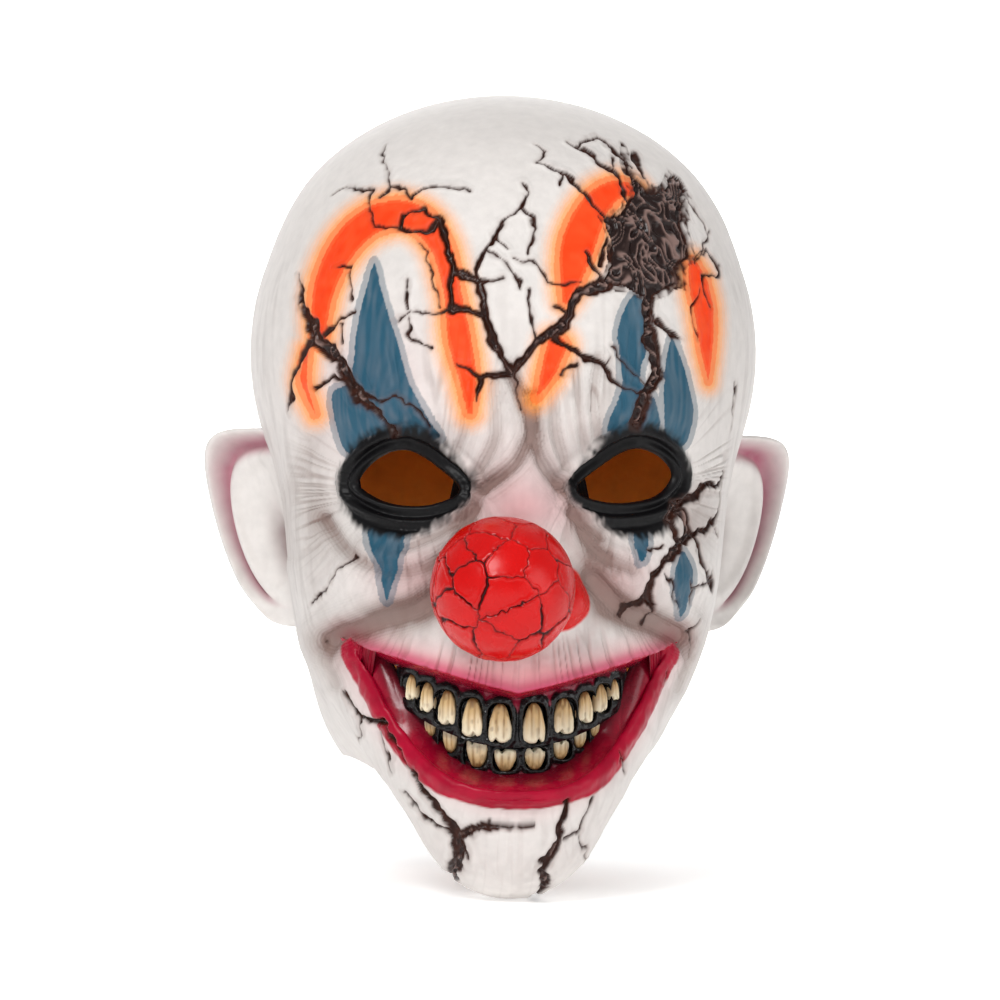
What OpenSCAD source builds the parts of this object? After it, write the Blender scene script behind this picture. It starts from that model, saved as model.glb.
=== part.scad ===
// Overhead latex clown mask: a poured skin with a slit at the back, glued-on ears,
// a hollow ball nose, a mouth lining with two gum bars, pegged teeth and foam fitting pads.
// The face looks along -Y, +X is the wearer's left and +Z is up. The origin is the middle
// of the head cavity, level with the bridge of the nose.

/* [Skin] */
// Width of the skull at its widest
skull_width = 189; // [180:1:196]
// Depth of the skull, forehead to back
skull_depth = 222; // [214:1:228]
// Height of the skull's middle above the origin
skull_mid = 62; // [58:1:66]
// Height of the skull above its middle
skull_rise = 94; // [90:1:98]
// Depth of the chin's tip below the origin
chin_drop = 134; // [130:1:138]
// Thickness of the poured skin
wall = 2.4; // [2:0.1:3]

/* [Eyes] */
// Distance between the eye holes' middles
eye_spacing = 78; // [74:1:82]
// Height of the eye holes' middles
eye_z = 16; // [14:1:18]
// Width of an eye hole
eye_width = 35; // [30:1:37]
// Height of an eye hole
eye_height = 20; // [16:1:22]

/* [Nose] */
// Outer diameter of the ball nose
ball_d = 50; // [44:1:52]
// How far the ball sits off the middle, towards the wearer's right
ball_shift = 7; // [0:1:8]
// Height of the ball's middle
ball_z = -23; // [-25:1:-21]
// How far in front of the origin the ball's flat seat lies
ball_seat = 113; // [113:1:115]

/* [Mouth] */
// Width of the mouth opening, corner to corner
mouth_width = 116; // [112:1:118]
// Height of the upper lip's edge at the middle
mouth_top = -60; // [-61:1:-59]
// Height of the lower lip's edge at the middle
mouth_bottom = -94; // [-95:1:-93]
// Height of the mouth's corners
mouth_corner = -44; // [-45:1:-43]
// Depth of the lining behind the lips
lining_depth = 10.5; // [9.5:0.5:11]

/* [Teeth] */
// Thickness of a tooth, front to back
tooth_thick = 5; // [4:0.5:5.5]
// Radius of the peg that holds a tooth in its gum
peg_r = 1.5; // [1.2:0.1:1.6]
// Length of the peg
peg_length = 5; // [4:0.5:6]

/* [Ears] */
// Height of an ear
ear_height = 70; // [64:1:74]
// Width of an ear, root to rim
ear_width = 33; // [28:1:35]
// Angle between an ear and the side of the head
ear_flare = 45; // [40:1:50]
// Thickness of an ear's rim
ear_thick = 5; // [4:0.5:6]

/* [Rear slit] */
// Elevation of the slit's upper end, seen from the origin
slit_top = -12; // [-16:1:-12]
// Azimuth from the slit to each flap's fold line at the hem
fold_span = 36; // [32:1:38]
// Gap between the skin and a flap, in degrees
cut_gap = 0.5; // [0.45:0.05:0.6]
// Half the gap between the two flaps, in degrees
slit_gap = 0.75; // [0.7:0.05:0.8]

/* [Fitting pads] */
// Thickness of the foam pads
pad_thick = 11; // [8:1:13]

/* [Hidden] */
glue = 0.5;              // room left for the glue behind the pads
bend_glue = 2.1;         // the same behind the lining and the patch, where the skin bends sharply
patch_thick = 0.8;       // thickness of the gauze patch
clear = 0.1;             // room around a tooth's peg
ball_wall = 2;
core_gap = 0.3;          // room between the ball and its foam core
outer_cols = 60;         // facets around the outside of the head
outer_rows = 36;
inner_cols = 46;
inner_rows = 28;
search_steps = 15;
search_far = 220;
lining_wall = 1.5;
gum_depth = 8;
gum_rows = 3;
gum_cols = 16;
upper_gum_half = 39.5;   // half widths of the two gum bars
lower_gum_half = 32.5;

// Each upper tooth: place across the mouth, width, height
upper_teeth = [
    [-37, 4.6, 8.5], [-31.5, 5.6, 10], [-24.5, 7, 11.5], [-15.5, 7.6, 13], [-5.5, 8.2, 13.2],
    [7, 8, 13.6], [18, 7.8, 12], [26, 6.2, 10.5], [32, 5.2, 9.5], [37, 3.6, 7],
];
// Each lower tooth: place across the mouth, width, height
lower_teeth = [
    [-30, 5, 7.2], [-23, 5.8, 8.4], [-13.5, 7.8, 9.4], [-3.2, 7.8, 7.4],
    [7.8, 7.4, 7.4], [17.5, 6.2, 6.4], [24.5, 5.2, 6.2], [30, 4, 6],
];

upper_names = [for (i = [1 : len(upper_teeth)]) str("upper_tooth_", i)];
lower_names = [for (i = [1 : len(lower_teeth)]) str("lower_tooth_", i)];

latex_white = [0.93, 0.91, 0.88];
latex_red = [0.82, 0.06, 0.05];
lining_red = [0.55, 0.04, 0.12];
gum_black = [0.08, 0.05, 0.05];
tooth_ivory = [0.88, 0.80, 0.62];
gauze_tan = [0.72, 0.58, 0.38];
foam_grey = [0.35, 0.35, 0.37];

// ---- Head form: a smooth union of ellipsoids, [centre, radii, blend], less a few hollows ----

function both(centre, radii, blend) = [
    [centre, radii, blend],
    [[-centre.x, centre.y, centre.z], radii, blend],
];

raised = concat(
    [
        [[0, 10, skull_mid], [skull_width / 2, skull_depth / 2, skull_rise], 1],
        [[0, 8, 100], [80, 92, 55.5], 10],                          // crown
        [[0, 22, -28], [75, 80, 70], 30],                           // nape
        [[0, 30, -66], [66, 63, 48], 14],                           // neck
        [[0, -26, -12], [76, 72, 92], 26],                          // face
        [[0, -50, -72], [50, 47, 44], 16],                          // jaw
        [[0, -70, -chin_drop + 33.5], [33, 34, 33.5], 16],          // chin
    ],
    both([25, -50, 42], [36, 47, 12], 14),                          // brow ridges
    both([36, -48, -19], [30, 46, 19], 12),                         // cheeks
    [
        [[0, -62, -50], [44, 44, 19], 14],                          // upper lip
        [[0, -92, 4], [10, 15, 26], 12],                            // bridge of the nose
        [[3, -98, -26], [19, 14, 13], 8],                           // nose
        [[0, -68, -90], [36, 36, 13], 12],                          // lower lip
    ]
);
hollowed = concat(
    both([eye_spacing / 2 + 1, -104, 14], [26, 25, 16], 10),        // eye sockets
    both([80, -76, -58], [22, 34, 26], 16),                         // cheek hollows
    [[[0, -112, -101], [30, 12, 5], 8]]                             // fold above the chin
);

// Signed distance to an ellipsoid, good to a few percent near its surface
function ellipsoid(p, centre, radii) =
    let (
        q = [(p.x - centre.x) / radii.x, (p.y - centre.y) / radii.y, (p.z - centre.z) / radii.z],
        near = norm(q),
        slope = norm([q.x / radii.x, q.y / radii.y, q.z / radii.z])
    )
    slope < 1e-6 ? -min(radii) : near * (near - 1) / slope;

function smooth_min(a, b, k) =
    let (h = max(k - abs(a - b), 0) / k)
    min(a, b) - h * h * k / 4;

function join_raised(p, i = 0, d = 1000) =
    i == len(raised) ? d :
    join_raised(p, i + 1, smooth_min(d, ellipsoid(p, raised[i][0], raised[i][1]), raised[i][2]));

function cut_hollows(p, d, i = 0) =
    i == len(hollowed) ? d :
    cut_hollows(p, -smooth_min(-d, ellipsoid(p, hollowed[i][0], hollowed[i][1]), hollowed[i][2]), i + 1);

function head(p) = cut_hollows(p, join_raised(p));

// The point at a given depth under the head's surface, along a line from start, by bisection
function reach(way, depth, start = [0, 0, 0], low = 5, high = search_far, steps = search_steps) =
    let (mid = (low + high) / 2)
    steps == 0 ? start + way * mid :
    head(start + way * mid) < -depth ? reach(way, depth, start, mid, high, steps - 1) :
    reach(way, depth, start, low, mid, steps - 1);

// Direction seen from the origin: azimuth 0 is straight ahead, 90 is the wearer's left
function aim(azimuth, elevation) =
    [sin(azimuth) * cos(elevation), -cos(azimuth) * cos(elevation), sin(elevation)];

// Elevation of the neck hem at an azimuth: low under the chin, higher at the nape
function hem(azimuth) = -(59.1 + 11.25 * cos(azimuth) - 0.9 * cos(2 * azimuth));

// ---- Closed solids from grids of points ----

function flat(rows) = [for (row = rows) each row];

// Two facets between four points
function strip(a, b, c, d) = [[a, c, b], [a, d, c]];

// A solid between a front and a back grid of points, closed along its edges.
// With wrap the columns run round in a ring.
module slab(front, back, wrap = false) {
    rows = len(front);
    cols = len(front[0]);
    n = rows * cols;
    spans = wrap ? cols : cols - 1;
    faces = [
        for (r = [0 : rows - 2], c = [0 : spans - 1])
            let (a = r * cols + c, b = r * cols + (c + 1) % cols)
            each concat(strip(a, a + cols, b + cols, b), strip(n + a, n + b, n + b + cols, n + a + cols)),
        for (c = [0 : spans - 1])
            let (b = (c + 1) % cols, last = (rows - 1) * cols)
            each concat(strip(c, b, n + b, n + c), strip(last + b, last + c, n + last + c, n + last + b)),
        if (!wrap) for (r = [0 : rows - 2])
            let (a = r * cols, b = a + cols - 1)
            each concat(strip(a + cols, a, n + a, n + a + cols), strip(b, b + cols, n + b + cols, n + b)),
    ];
    polyhedron(concat(flat(front), flat(back)), faces, convexity = 6);
}

// The inside of the head down to a depth under its surface, closed by a cone to apex
module head_solid(depth, cols, rows, below_hem, apex) {
    turn = function (c) 360 * c / cols - 25 * sin(360 * c / cols);
    fall = function (r, azimuth) 90 + (hem(azimuth) - below_hem - 90) * r / rows;
    ring = [for (r = [1 : rows]) [for (c = [0 : cols - 1]) reach(aim(turn(c), fall(r, turn(c))), depth)]];
    top = rows * cols;
    faces = [
        for (r = [0 : rows - 2], c = [0 : cols - 1])
            let (a = r * cols + c, b = r * cols + (c + 1) % cols)
            each strip(a, a + cols, b + cols, b),
        for (c = [0 : cols - 1]) [top, (c + 1) % cols, c],
        for (c = [0 : cols - 1])
            let (a = top - cols + c, b = top - cols + (c + 1) % cols)
            [a, b, top + 1],
    ];
    polyhedron(concat(flat(ring), [reach([0, 0, 1], depth), apex]), faces, convexity = 6);
}

// A piece of the head's wall between two depths, over a grid of directions
module wall_piece(ways, outer_depth, inner_depth) {
    slab(
        [for (row = ways) [for (way = row) reach(way, outer_depth)]],
        [for (row = ways) [for (way = row) reach(way, inner_depth)]]
    );
}

function direction_grid(rows, cols, way) =
    [for (r = [0 : rows]) [for (c = [0 : cols]) way(c / cols, r / rows)]];

// ---- Mouth outline ----

function lip_top(x) =
    mouth_top + (mouth_corner - mouth_top) * pow(abs(x) / (mouth_width / 2), 1.1);
function lip_bottom(x) =
    mouth_bottom + (mouth_corner - mouth_bottom) * pow(abs(x) / (mouth_width / 2), 2.5);

function upper_arch(x) = -92 + x * x / 90;
function lower_arch(x) = -88 + x * x / 80;
function upper_row(x) = -71 + x * x / 115;
function lower_row(x) = -84 + x * x / 80;

// ---- Skin ----

// The almond opening of one eye, as a bar along Y
module eye_bar(side) {
    arc_r = (eye_width * eye_width / 4 + eye_height * eye_height / 4) / eye_height;
    translate([side * eye_spacing / 2, -40, eye_z])
        rotate([90, 0, 0])
        linear_extrude(100)
        intersection_for (up = [-1, 1])
            translate([0, up * (arc_r - eye_height / 2)])
            circle(arc_r, $fn = 64);
}

// The grinning mouth opening, as a chain of hulls across the face
module mouth_bar() {
    half = mouth_width / 2 - 0.5;
    stations = 14;
    edge = function (i) -half * cos(180 * i / stations);
    for (i = [0 : stations - 1])
        hull()
        for (x = [edge(i), edge(i + 1)])
            translate([x, -150, lip_bottom(x)])
            cube([0.02, 115, lip_top(x) - lip_bottom(x) + 0.2]);
}

// The notch at the back that the two flaps fill
module flap_notch() {
    rows = 10;
    cols = 12;
    past_hem = 1.1;
    way = function (u, v)
        let (
            down = past_hem * v,
            azimuth = 180 + (2 * u - 1) * (fold_span * down + 2 * cut_gap)
        )
        aim(azimuth, slit_top + down * (hem(azimuth) - slit_top) + cut_gap);
    wall_piece(direction_grid(rows, cols, way), -4, wall + 4);
}

module head_skin() {
    color(latex_white)
    difference() {
        head_solid(0, outer_cols, outer_rows, 0, [0, 0, 0]);
        head_solid(wall, inner_cols, inner_rows, 4, [0, 0, -8]);
        for (side = [-1, 1]) eye_bar(side);
        mouth_bar();
        flap_notch();
    }
}

// One free corner beside the rear slit, side +1 for the wearer's left
module flap(side) {
    rows = 9;
    cols = 7;
    tip = 0.08;
    way = function (u, v)
        let (
            down = tip + (1 - tip) * v,
            across = slit_gap + (fold_span - slit_gap) * down * (side > 0 ? 1 - u : u),
            azimuth = 180 - side * across
        )
        aim(azimuth, slit_top + down * (hem(azimuth) - slit_top));
    color(latex_white) wall_piece(direction_grid(rows, cols, way), 0, wall);
}

module slit_patch() {
    way = function (u, v) aim(170 + 20 * u, slit_top + 9 - 16 * v);
    skin_side = wall + bend_glue;
    color(gauze_tan) wall_piece(direction_grid(4, 5, way), skin_side, skin_side + patch_thick);
}

// ---- Ears ----

// One ear, side +1 for the wearer's left: a dished leaf that stands off the head by ear_flare
module ear(side) {
    rows = 16;
    cols = 7;
    angle = function (v) 84 - 168 * v;
    height = function (v) -2 + ear_height / 2 * sin(angle(v));
    reach_out = function (v) ear_width * pow(cos(angle(v)), 0.55) * (1 + 0.2 * sin(angle(v)));
    outward = [side * sin(ear_flare), cos(ear_flare), 0];
    facing = [side * cos(ear_flare), -sin(ear_flare), 0];
    root = function (v, y) reach([side, 0, 0], -0.4, [0, y, height(v)], 40, 130);
    bowl = function (u, v) 7 * sin(180 * u) * cos(angle(v));
    dish = function (y, lift)
        [for (r = [0 : rows]) [for (c = [0 : cols])
            let (u = (side > 0 ? c : cols - c) / cols, v = r / rows)
            root(v, y) + outward * reach_out(v) * u + facing * (lift * min(1, u * 4) - bowl(u, v))]];
    color(latex_white) slab(dish(4, 0), dish(4 + 1.4 * ear_thick, -ear_thick * 0.4));
}

// ---- Nose ----

seat_back = ball_d / 2 - 16;   // the flat seat's distance behind the ball's middle
ball_centre = [-ball_shift, -ball_seat - seat_back, ball_z];

// Half the outline of a ball of radius r that is cut flat at height low under its middle
function cut_ball(r, low) =
    let (steps = 20, last = acos(low / r))
    [for (i = [0 : steps]) [r * sin(last * i / steps), r * cos(last * i / steps)]];

module on_nose() translate(ball_centre) rotate([90, 0, 0]) children();

module nose_ball() {
    r = ball_d / 2;
    low = -seat_back;
    inside = cut_ball(r - ball_wall, low);
    color(latex_red)
    on_nose()
    rotate_extrude($fn = 96)
    polygon(concat(cut_ball(r, low), [for (i = [len(inside) - 1 : -1 : 0]) inside[i]]));
}

module nose_core() {
    low = core_gap - seat_back;
    color(foam_grey)
    on_nose()
    rotate_extrude($fn = 96)
    polygon(concat(cut_ball(ball_d / 2 - ball_wall - core_gap, low), [[0, low]]));
}

// ---- Mouth ----

// The lining: a flange glued behind the lips, and a funnel back to the gums
module mouth_lining() {
    steps = 20;
    middle = [0, -72];
    half = mouth_width / 2;
    over = [for (i = [0 : steps - 1]) let (x = -half * cos(180 * i / steps)) [x, lip_top(x)]];
    under = [for (i = [0 : steps - 1]) let (x = half * cos(180 * i / steps)) [x, lip_bottom(x)]];
    outline = concat(over, under);
    rings = [[1.06, 0], [0.95, 0], [0.88, 6], [0.84, lining_depth]];
    spot = function (p, grow, back, under)
        let (
            q = middle + (p - middle) * grow,
            face = reach([0, -1, 0], wall + bend_glue + under, [q.x, 0, q.y], 20, 130),
            gum_front = upper_arch(q.x) + tooth_thick - lining_wall - 0.4
        )
        [q.x, back == 0 ? face.y : min(face.y + back, gum_front + under), q.y];
    lay = function (under) [for (s = rings) [for (p = outline) spot(p, s[0], s[1], under)]];
    color(lining_red) slab(lay(0), lay(lining_wall), wrap = true);
}

// A gum bar along an arch; teeth is the list whose pegs it holds
module gum(arch, row, half, low, high, teeth) {
    grid = function (back)
        [for (r = [0 : gum_rows]) [for (c = [0 : gum_cols])
            let (x = -half + 2 * half * c / gum_cols)
            [x, arch(x) + tooth_thick + back, row(x) + high + (low - high) * r / gum_rows]]];
    color(gum_black)
    difference() {
        slab(grid(0.2), grid(gum_depth));
        for (tooth = teeth)
            seat(tooth, arch, row)
            rotate([-90, 0, 0])
            cylinder(r = peg_r + clear, h = peg_length + 0.5, $fn = 32);
    }
}

module upper_gum() gum(function (x) upper_arch(x), function (x) upper_row(x), upper_gum_half, -4, 15, upper_teeth);
module lower_gum() gum(function (x) lower_arch(x), function (x) lower_row(x), lower_gum_half, -16, 2.5, lower_teeth);

// Puts its child at a tooth's place, at the back of the tooth and turned along the arch
module seat(tooth, arch, row) {
    x = tooth[0];
    slope = (arch(x + 1) - arch(x - 1)) / 2;
    translate([x, arch(x) + tooth_thick - 0.2, row(x)])
        rotate([0, 0, atan(slope)])
        children();
}

// One tooth: a rounded block, narrower at its neck, with a peg behind it
module tooth(tooth, arch, row, neck) {
    round_r = 1.1;
    wide = tooth[1] / 2 - round_r;
    tall = tooth[2] / 2 - round_r;
    color(tooth_ivory)
    seat(tooth, arch, row) {
        hull()
        for (side = [-1, 1], end = [-1, 1], front = [0, 1])
            translate([
                side * wide * (end == neck ? 0.75 : 1),
                -round_r - front * (tooth_thick - 2 * round_r - (end == neck ? 1 : 0)),
                end * tall
            ])
            sphere(round_r, $fn = 10);
        translate([0, -1, 0]) rotate([-90, 0, 0]) cylinder(r = peg_r, h = peg_length + 1, $fn = 32);
    }
}

module upper_tooth(i) tooth(upper_teeth[i], function (x) upper_arch(x), function (x) upper_row(x), 1);
module lower_tooth(i) tooth(lower_teeth[i], function (x) lower_arch(x), function (x) lower_row(x), -1);

// ---- Fitting pads ----

module pad(way) {
    skin_side = wall + glue;
    color(foam_grey) wall_piece(direction_grid(6, 8, way), skin_side, skin_side + pad_thick);
}

module forehead_pad() pad(function (u, v) aim(-28 + 56 * u, 54 - 18 * v));
module crown_pad() {
    pad(function (u, v)
        let (way = [0.27 * (2 * u - 1), 0.1 - 0.27 * (2 * v - 1), 1])
        way / norm(way));
}
module temple_pad(side) {
    pad(function (u, v) aim(side * (side > 0 ? 78 + 28 * u : 106 - 28 * u), 48 - 22 * v));
}

// ---- Nodes ----

head_skin();
flap(1);  // flap_left
flap(-1);  // flap_right
slit_patch();
ear(1);  // ear_left
ear(-1);  // ear_right
nose_ball();
nose_core();
mouth_lining();
upper_gum();
lower_gum();
forehead_pad();
crown_pad();
temple_pad(1);  // temple_pad_left
temple_pad(-1);  // temple_pad_right
for (i = [0 : len(upper_teeth) - 1])
    upper_tooth(i);
for (i = [0 : len(lower_teeth) - 1])
    lower_tooth(i);
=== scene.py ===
"""Latex clown mask: its skin, paint, nose, mouth, ears and padding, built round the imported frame.

Shapes are worked out in millimetres in the frame's own axes: the face looks along -Y, +X is the
wearer's left and +Z is up. They are turned into metres when a mesh is made.
"""

import itertools
import math

import bpy
import numpy as np
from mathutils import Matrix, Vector


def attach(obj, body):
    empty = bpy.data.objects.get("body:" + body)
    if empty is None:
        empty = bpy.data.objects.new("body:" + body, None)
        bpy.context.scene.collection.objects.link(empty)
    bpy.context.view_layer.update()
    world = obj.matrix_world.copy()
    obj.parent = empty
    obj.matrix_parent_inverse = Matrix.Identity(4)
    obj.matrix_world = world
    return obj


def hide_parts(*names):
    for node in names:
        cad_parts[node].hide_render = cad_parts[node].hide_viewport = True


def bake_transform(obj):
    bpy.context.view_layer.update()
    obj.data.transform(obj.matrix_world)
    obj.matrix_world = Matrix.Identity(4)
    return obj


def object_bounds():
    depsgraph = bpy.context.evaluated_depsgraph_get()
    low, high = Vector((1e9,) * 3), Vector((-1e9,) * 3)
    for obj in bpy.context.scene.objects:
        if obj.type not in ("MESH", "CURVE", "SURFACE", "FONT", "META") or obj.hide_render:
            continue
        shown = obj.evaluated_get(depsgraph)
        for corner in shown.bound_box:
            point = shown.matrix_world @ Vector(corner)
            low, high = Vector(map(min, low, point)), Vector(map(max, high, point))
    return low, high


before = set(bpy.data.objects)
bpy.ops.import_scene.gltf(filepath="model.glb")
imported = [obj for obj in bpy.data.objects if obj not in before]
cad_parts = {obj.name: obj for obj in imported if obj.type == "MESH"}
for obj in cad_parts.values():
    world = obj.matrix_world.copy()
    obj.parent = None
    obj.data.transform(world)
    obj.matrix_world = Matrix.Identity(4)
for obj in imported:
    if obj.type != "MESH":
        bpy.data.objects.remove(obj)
cad_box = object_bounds()

COARSE = 1.0

# ---- Sizes shared with the CAD part ----

WALL = 2.4              # thickness of the poured skin
SLIT_TOP = -12.0        # elevation of the rear slit's upper end
PANEL_AZIMUTH = 126.0   # the rear corners bend inside this azimuth
BALL_RADIUS = 25.0
BALL_CENTRE = np.array([-7.0, -122.0, -23.0])
BALL_SEAT = 9.0         # from the ball's middle back to its flat seat
BALL_SINK = 6.5         # how much further back the painted ball runs, into the nose
TOOTH_THICK = 5.0
EAR_HEIGHT = 70.0
EAR_WIDTH = 33.0
MOUTH_HALF = 58.0


def both(centre, radii, blend):
    """The same ellipsoid on both sides of the face."""
    x, y, z = centre
    return [(centre, radii, blend), ((-x, y, z), radii, blend)]


RAISED = [
    ((0, 10, 62), (94.5, 111, 94), 1),
    ((0, 8, 100), (80, 92, 55.5), 10),
    ((0, 22, -28), (75, 80, 70), 30),
    ((0, 30, -66), (66, 63, 48), 14),
    ((0, -26, -12), (76, 72, 92), 26),
    ((0, -50, -72), (50, 47, 44), 16),
    ((0, -70, -100.5), (33, 34, 33.5), 16),
    *both((25, -50, 42), (36, 47, 12), 14),
    *both((36, -48, -19), (30, 46, 19), 12),
    ((0, -62, -50), (44, 44, 19), 14),
    ((0, -92, 4), (10, 15, 26), 12),
    ((3, -98, -26), (19, 14, 13), 8),
    ((0, -68, -90), (36, 36, 13), 12),
]
HOLLOWED = [
    *both((40, -104, 14), (26, 25, 16), 10),
    *both((80, -76, -58), (22, 34, 26), 16),
    ((0, -112, -101), (30, 12, 5), 8),
]

# ---- Small numeric helpers ----


def smooth(start, end, value):
    """0 before start and 1 after end, with a soft turn between them. Either may be the larger."""
    share = np.clip((value - start) / (end - start), 0, 1)
    return share * share * (3 - 2 * share)


def hump(value, middle, width):
    """A bump that is 1 at middle and dies away over width."""
    return np.exp(-(((value - middle) / width) ** 2))


def spot_mask(x, z, centre, radii):
    """1 at a centre on the face, fading over the radii."""
    return np.exp(-(((x - centre[0]) / radii[0]) ** 2) - ((z - centre[1]) / radii[1]) ** 2)


def unit(vectors):
    """Vectors of length one."""
    return vectors / np.maximum(np.linalg.norm(vectors, axis=-1, keepdims=True), 1e-9)


def shade(red, green, blue):
    """A screen colour from 0 to 255 as linear light."""
    value = np.array([red, green, blue]) / 255
    return np.where(value < 0.04045, value / 12.92, ((value + 0.055) / 1.055) ** 2.4)


def cover(colour, tint, share):
    """Paint of one tint over a colour at each point."""
    return colour + (tint - colour) * np.asarray(share)[..., None]


def lattice(cell, seed):
    """A fixed number from 0 to 1 for each whole-numbered cell."""
    mixed = cell[..., 0] * 73856093 ^ cell[..., 1] * 19349663 ^ cell[..., 2] * 83492791 ^ seed * 7919
    mixed = ((mixed ^ (mixed >> 13)) & 0x7FFFFFFF) * 1274126177 & 0x7FFFFFFF
    return ((mixed ^ (mixed >> 15)) & 0xFFFF) / 65535


def noise(points, size, seed=0):
    """Soft random bumps from 0 to 1, about size across; size may differ along each axis."""
    spot = points / np.asarray(size, float)
    cell = np.floor(spot).astype(np.int64)
    part = spot - cell
    part = part * part * (3 - 2 * part)
    total = np.zeros(points.shape[:-1])
    for corner in itertools.product((0, 1), repeat=3):
        weight = np.prod(np.where(corner, part, 1 - part), axis=-1)
        total += weight * lattice(cell + np.array(corner), seed)
    return total


def fractal(points, size, octaves=3, seed=0):
    """Noise with finer and fainter noise on it, from 0 to 1."""
    weights = [0.5 ** i for i in range(octaves)]
    layers = [w * noise(points, size * w, seed + 17 * i) for i, w in enumerate(weights)]
    return sum(layers) / sum(weights)


def drift(points, size, *seeds):
    """Soft random shifts of -0.5 to 0.5 at each point, one for each seed."""
    return np.stack([noise(points, size, seed) - 0.5 for seed in seeds], axis=-1)


def ridges(value):
    """Thin lines where soft noise passes its middle value."""
    return smooth(0.72, 0.97, 1 - np.abs(2 * value - 1))


# ---- The head's form ----


def ellipsoid(points, centre, radii):
    """Signed distance to an ellipsoid, good to a few percent near its surface."""
    scaled = (points - np.array(centre)) / np.array(radii)
    near = np.sqrt((scaled * scaled).sum(axis=-1))
    steep = scaled / np.array(radii)
    slope = np.sqrt((steep * steep).sum(axis=-1))
    return near * (near - 1) / np.maximum(slope, 1e-6)


def smooth_min(a, b, blend):
    """The smaller of two distances, with the corner between them rounded over a reach."""
    overlap = np.maximum(blend - np.abs(a - b), 0) / blend
    return np.minimum(a, b) - overlap * overlap * blend / 4


def head(points):
    """Signed distance to the head: ellipsoids run together, less a few hollows."""
    distance = ellipsoid(points, *RAISED[0][:2])
    for centre, radii, blend in RAISED[1:]:
        distance = smooth_min(distance, ellipsoid(points, centre, radii), blend)
    for centre, radii, blend in HOLLOWED:
        distance = -smooth_min(-distance, ellipsoid(points, centre, radii), blend)
    return distance


def reach(ways, depth=0.0, start=np.zeros(3), low=30.0, high=180.0, steps=16):
    """The point at a depth under the head's surface along each way from start, by bisection."""
    near = np.full(ways.shape[:-1], low)
    far = np.full(ways.shape[:-1], high)
    for _ in range(steps):
        middle = (near + far) / 2
        inside = head(start + ways * middle[..., None]) < -depth
        near = np.where(inside, middle, near)
        far = np.where(inside, far, middle)
    return start + ways * middle[..., None]


def aim(azimuth, elevation):
    """Direction from the origin, in degrees: azimuth 0 is straight ahead, 90 the wearer's left."""
    around, up = np.broadcast_arrays(np.radians(azimuth), np.radians(elevation))
    return np.stack([np.sin(around) * np.cos(up), -np.cos(around) * np.cos(up), np.sin(up)], axis=-1)


def hem(azimuth):
    """Elevation of the neck hem, in degrees."""
    around = np.radians(azimuth)
    return -(59.1 + 11.25 * np.cos(around) - 0.9 * np.cos(2 * around))


def lip_top(x):
    """Height of the mouth's upper edge."""
    return -60 + 16 * (np.abs(x) / MOUTH_HALF) ** 1.1


def lip_bottom(x):
    """Height of the mouth's lower edge."""
    return -94 + 50 * (np.abs(x) / MOUTH_HALF) ** 2.5


# ---- Lines and outlines on the face, as seen from the front ----


def spline(points, closed=False, steps=6):
    """A smooth line through given points, by Catmull-Rom."""
    points = np.array(points, float)
    ends = (points[-1:], points[:2]) if closed else (points[:1], points[-1:])
    run = np.concatenate([ends[0], points, ends[1]])
    t = np.linspace(0, 1, steps, endpoint=False)[:, None]
    parts = [
        b + t / 2 * (c - a + t * (2 * a - 5 * b + 4 * c - d + t * (3 * (b - c) + d - a)))
        for a, b, c, d in zip(run, run[1:], run[2:], run[3:])
    ]
    return np.concatenate(parts if closed else [*parts, points[-1:]])


def line_gap(spots, line, margin=12.0):
    """Distance from spots to a line of (x, z, half width) points, less the half width there."""
    line = np.asarray(line, float)
    low = line[:, :2].min(axis=0) - margin
    high = line[:, :2].max(axis=0) + margin
    close = np.flatnonzero(((spots > low) & (spots < high)).all(axis=1))
    near = spots[close]
    best = np.full(len(close), margin)
    for a, b in zip(line, line[1:]):
        along = b[:2] - a[:2]
        share = np.clip((near - a[:2]) @ along / max(along @ along, 1e-9), 0, 1)
        off = near - a[:2] - share[:, None] * along
        best = np.minimum(best, np.hypot(*off.T) - a[2] - share * (b[2] - a[2]))
    gap = np.full(len(spots), margin)
    gap[close] = best
    return gap


def depth_inside(spots, outline, margin=14.0):
    """How far spots lie inside a closed outline, negative outside it, and the way inwards."""
    following = np.roll(outline, -1, axis=0)
    turning = np.sign((outline[:, 0] * following[:, 1] - following[:, 0] * outline[:, 1]).sum())
    low = outline.min(axis=0) - margin
    high = outline.max(axis=0) + margin
    close = np.flatnonzero(((spots > low) & (spots < high)).all(axis=1))
    near = spots[close]
    best = np.full(len(close), margin)
    inward = np.zeros((len(close), 2))
    inside = np.zeros(len(close), bool)
    for a, b in zip(outline, following):
        along = b - a
        length = max(math.hypot(*along), 1e-6)
        share = np.clip((near - a) @ along / length ** 2, 0, 1)
        distance = np.hypot(*(near - a - share[:, None] * along).T)
        closer = distance < best
        best = np.where(closer, distance, best)
        inward[closer] = turning * np.array([-along[1], along[0]]) / length
        spans = (a[1] > near[:, 1]) != (b[1] > near[:, 1])
        if b[1] != a[1]:
            inside ^= spans & (near[:, 0] < a[0] + (near[:, 1] - a[1]) * along[0] / along[1])
    depth = np.full(len(spots), -margin)
    depth[close] = np.where(inside, best, -best)
    ways = np.zeros((len(spots), 2))
    ways[close] = inward
    return depth, ways


# ---- Holes, paint and cracks: (x, z) in mm ----

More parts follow.
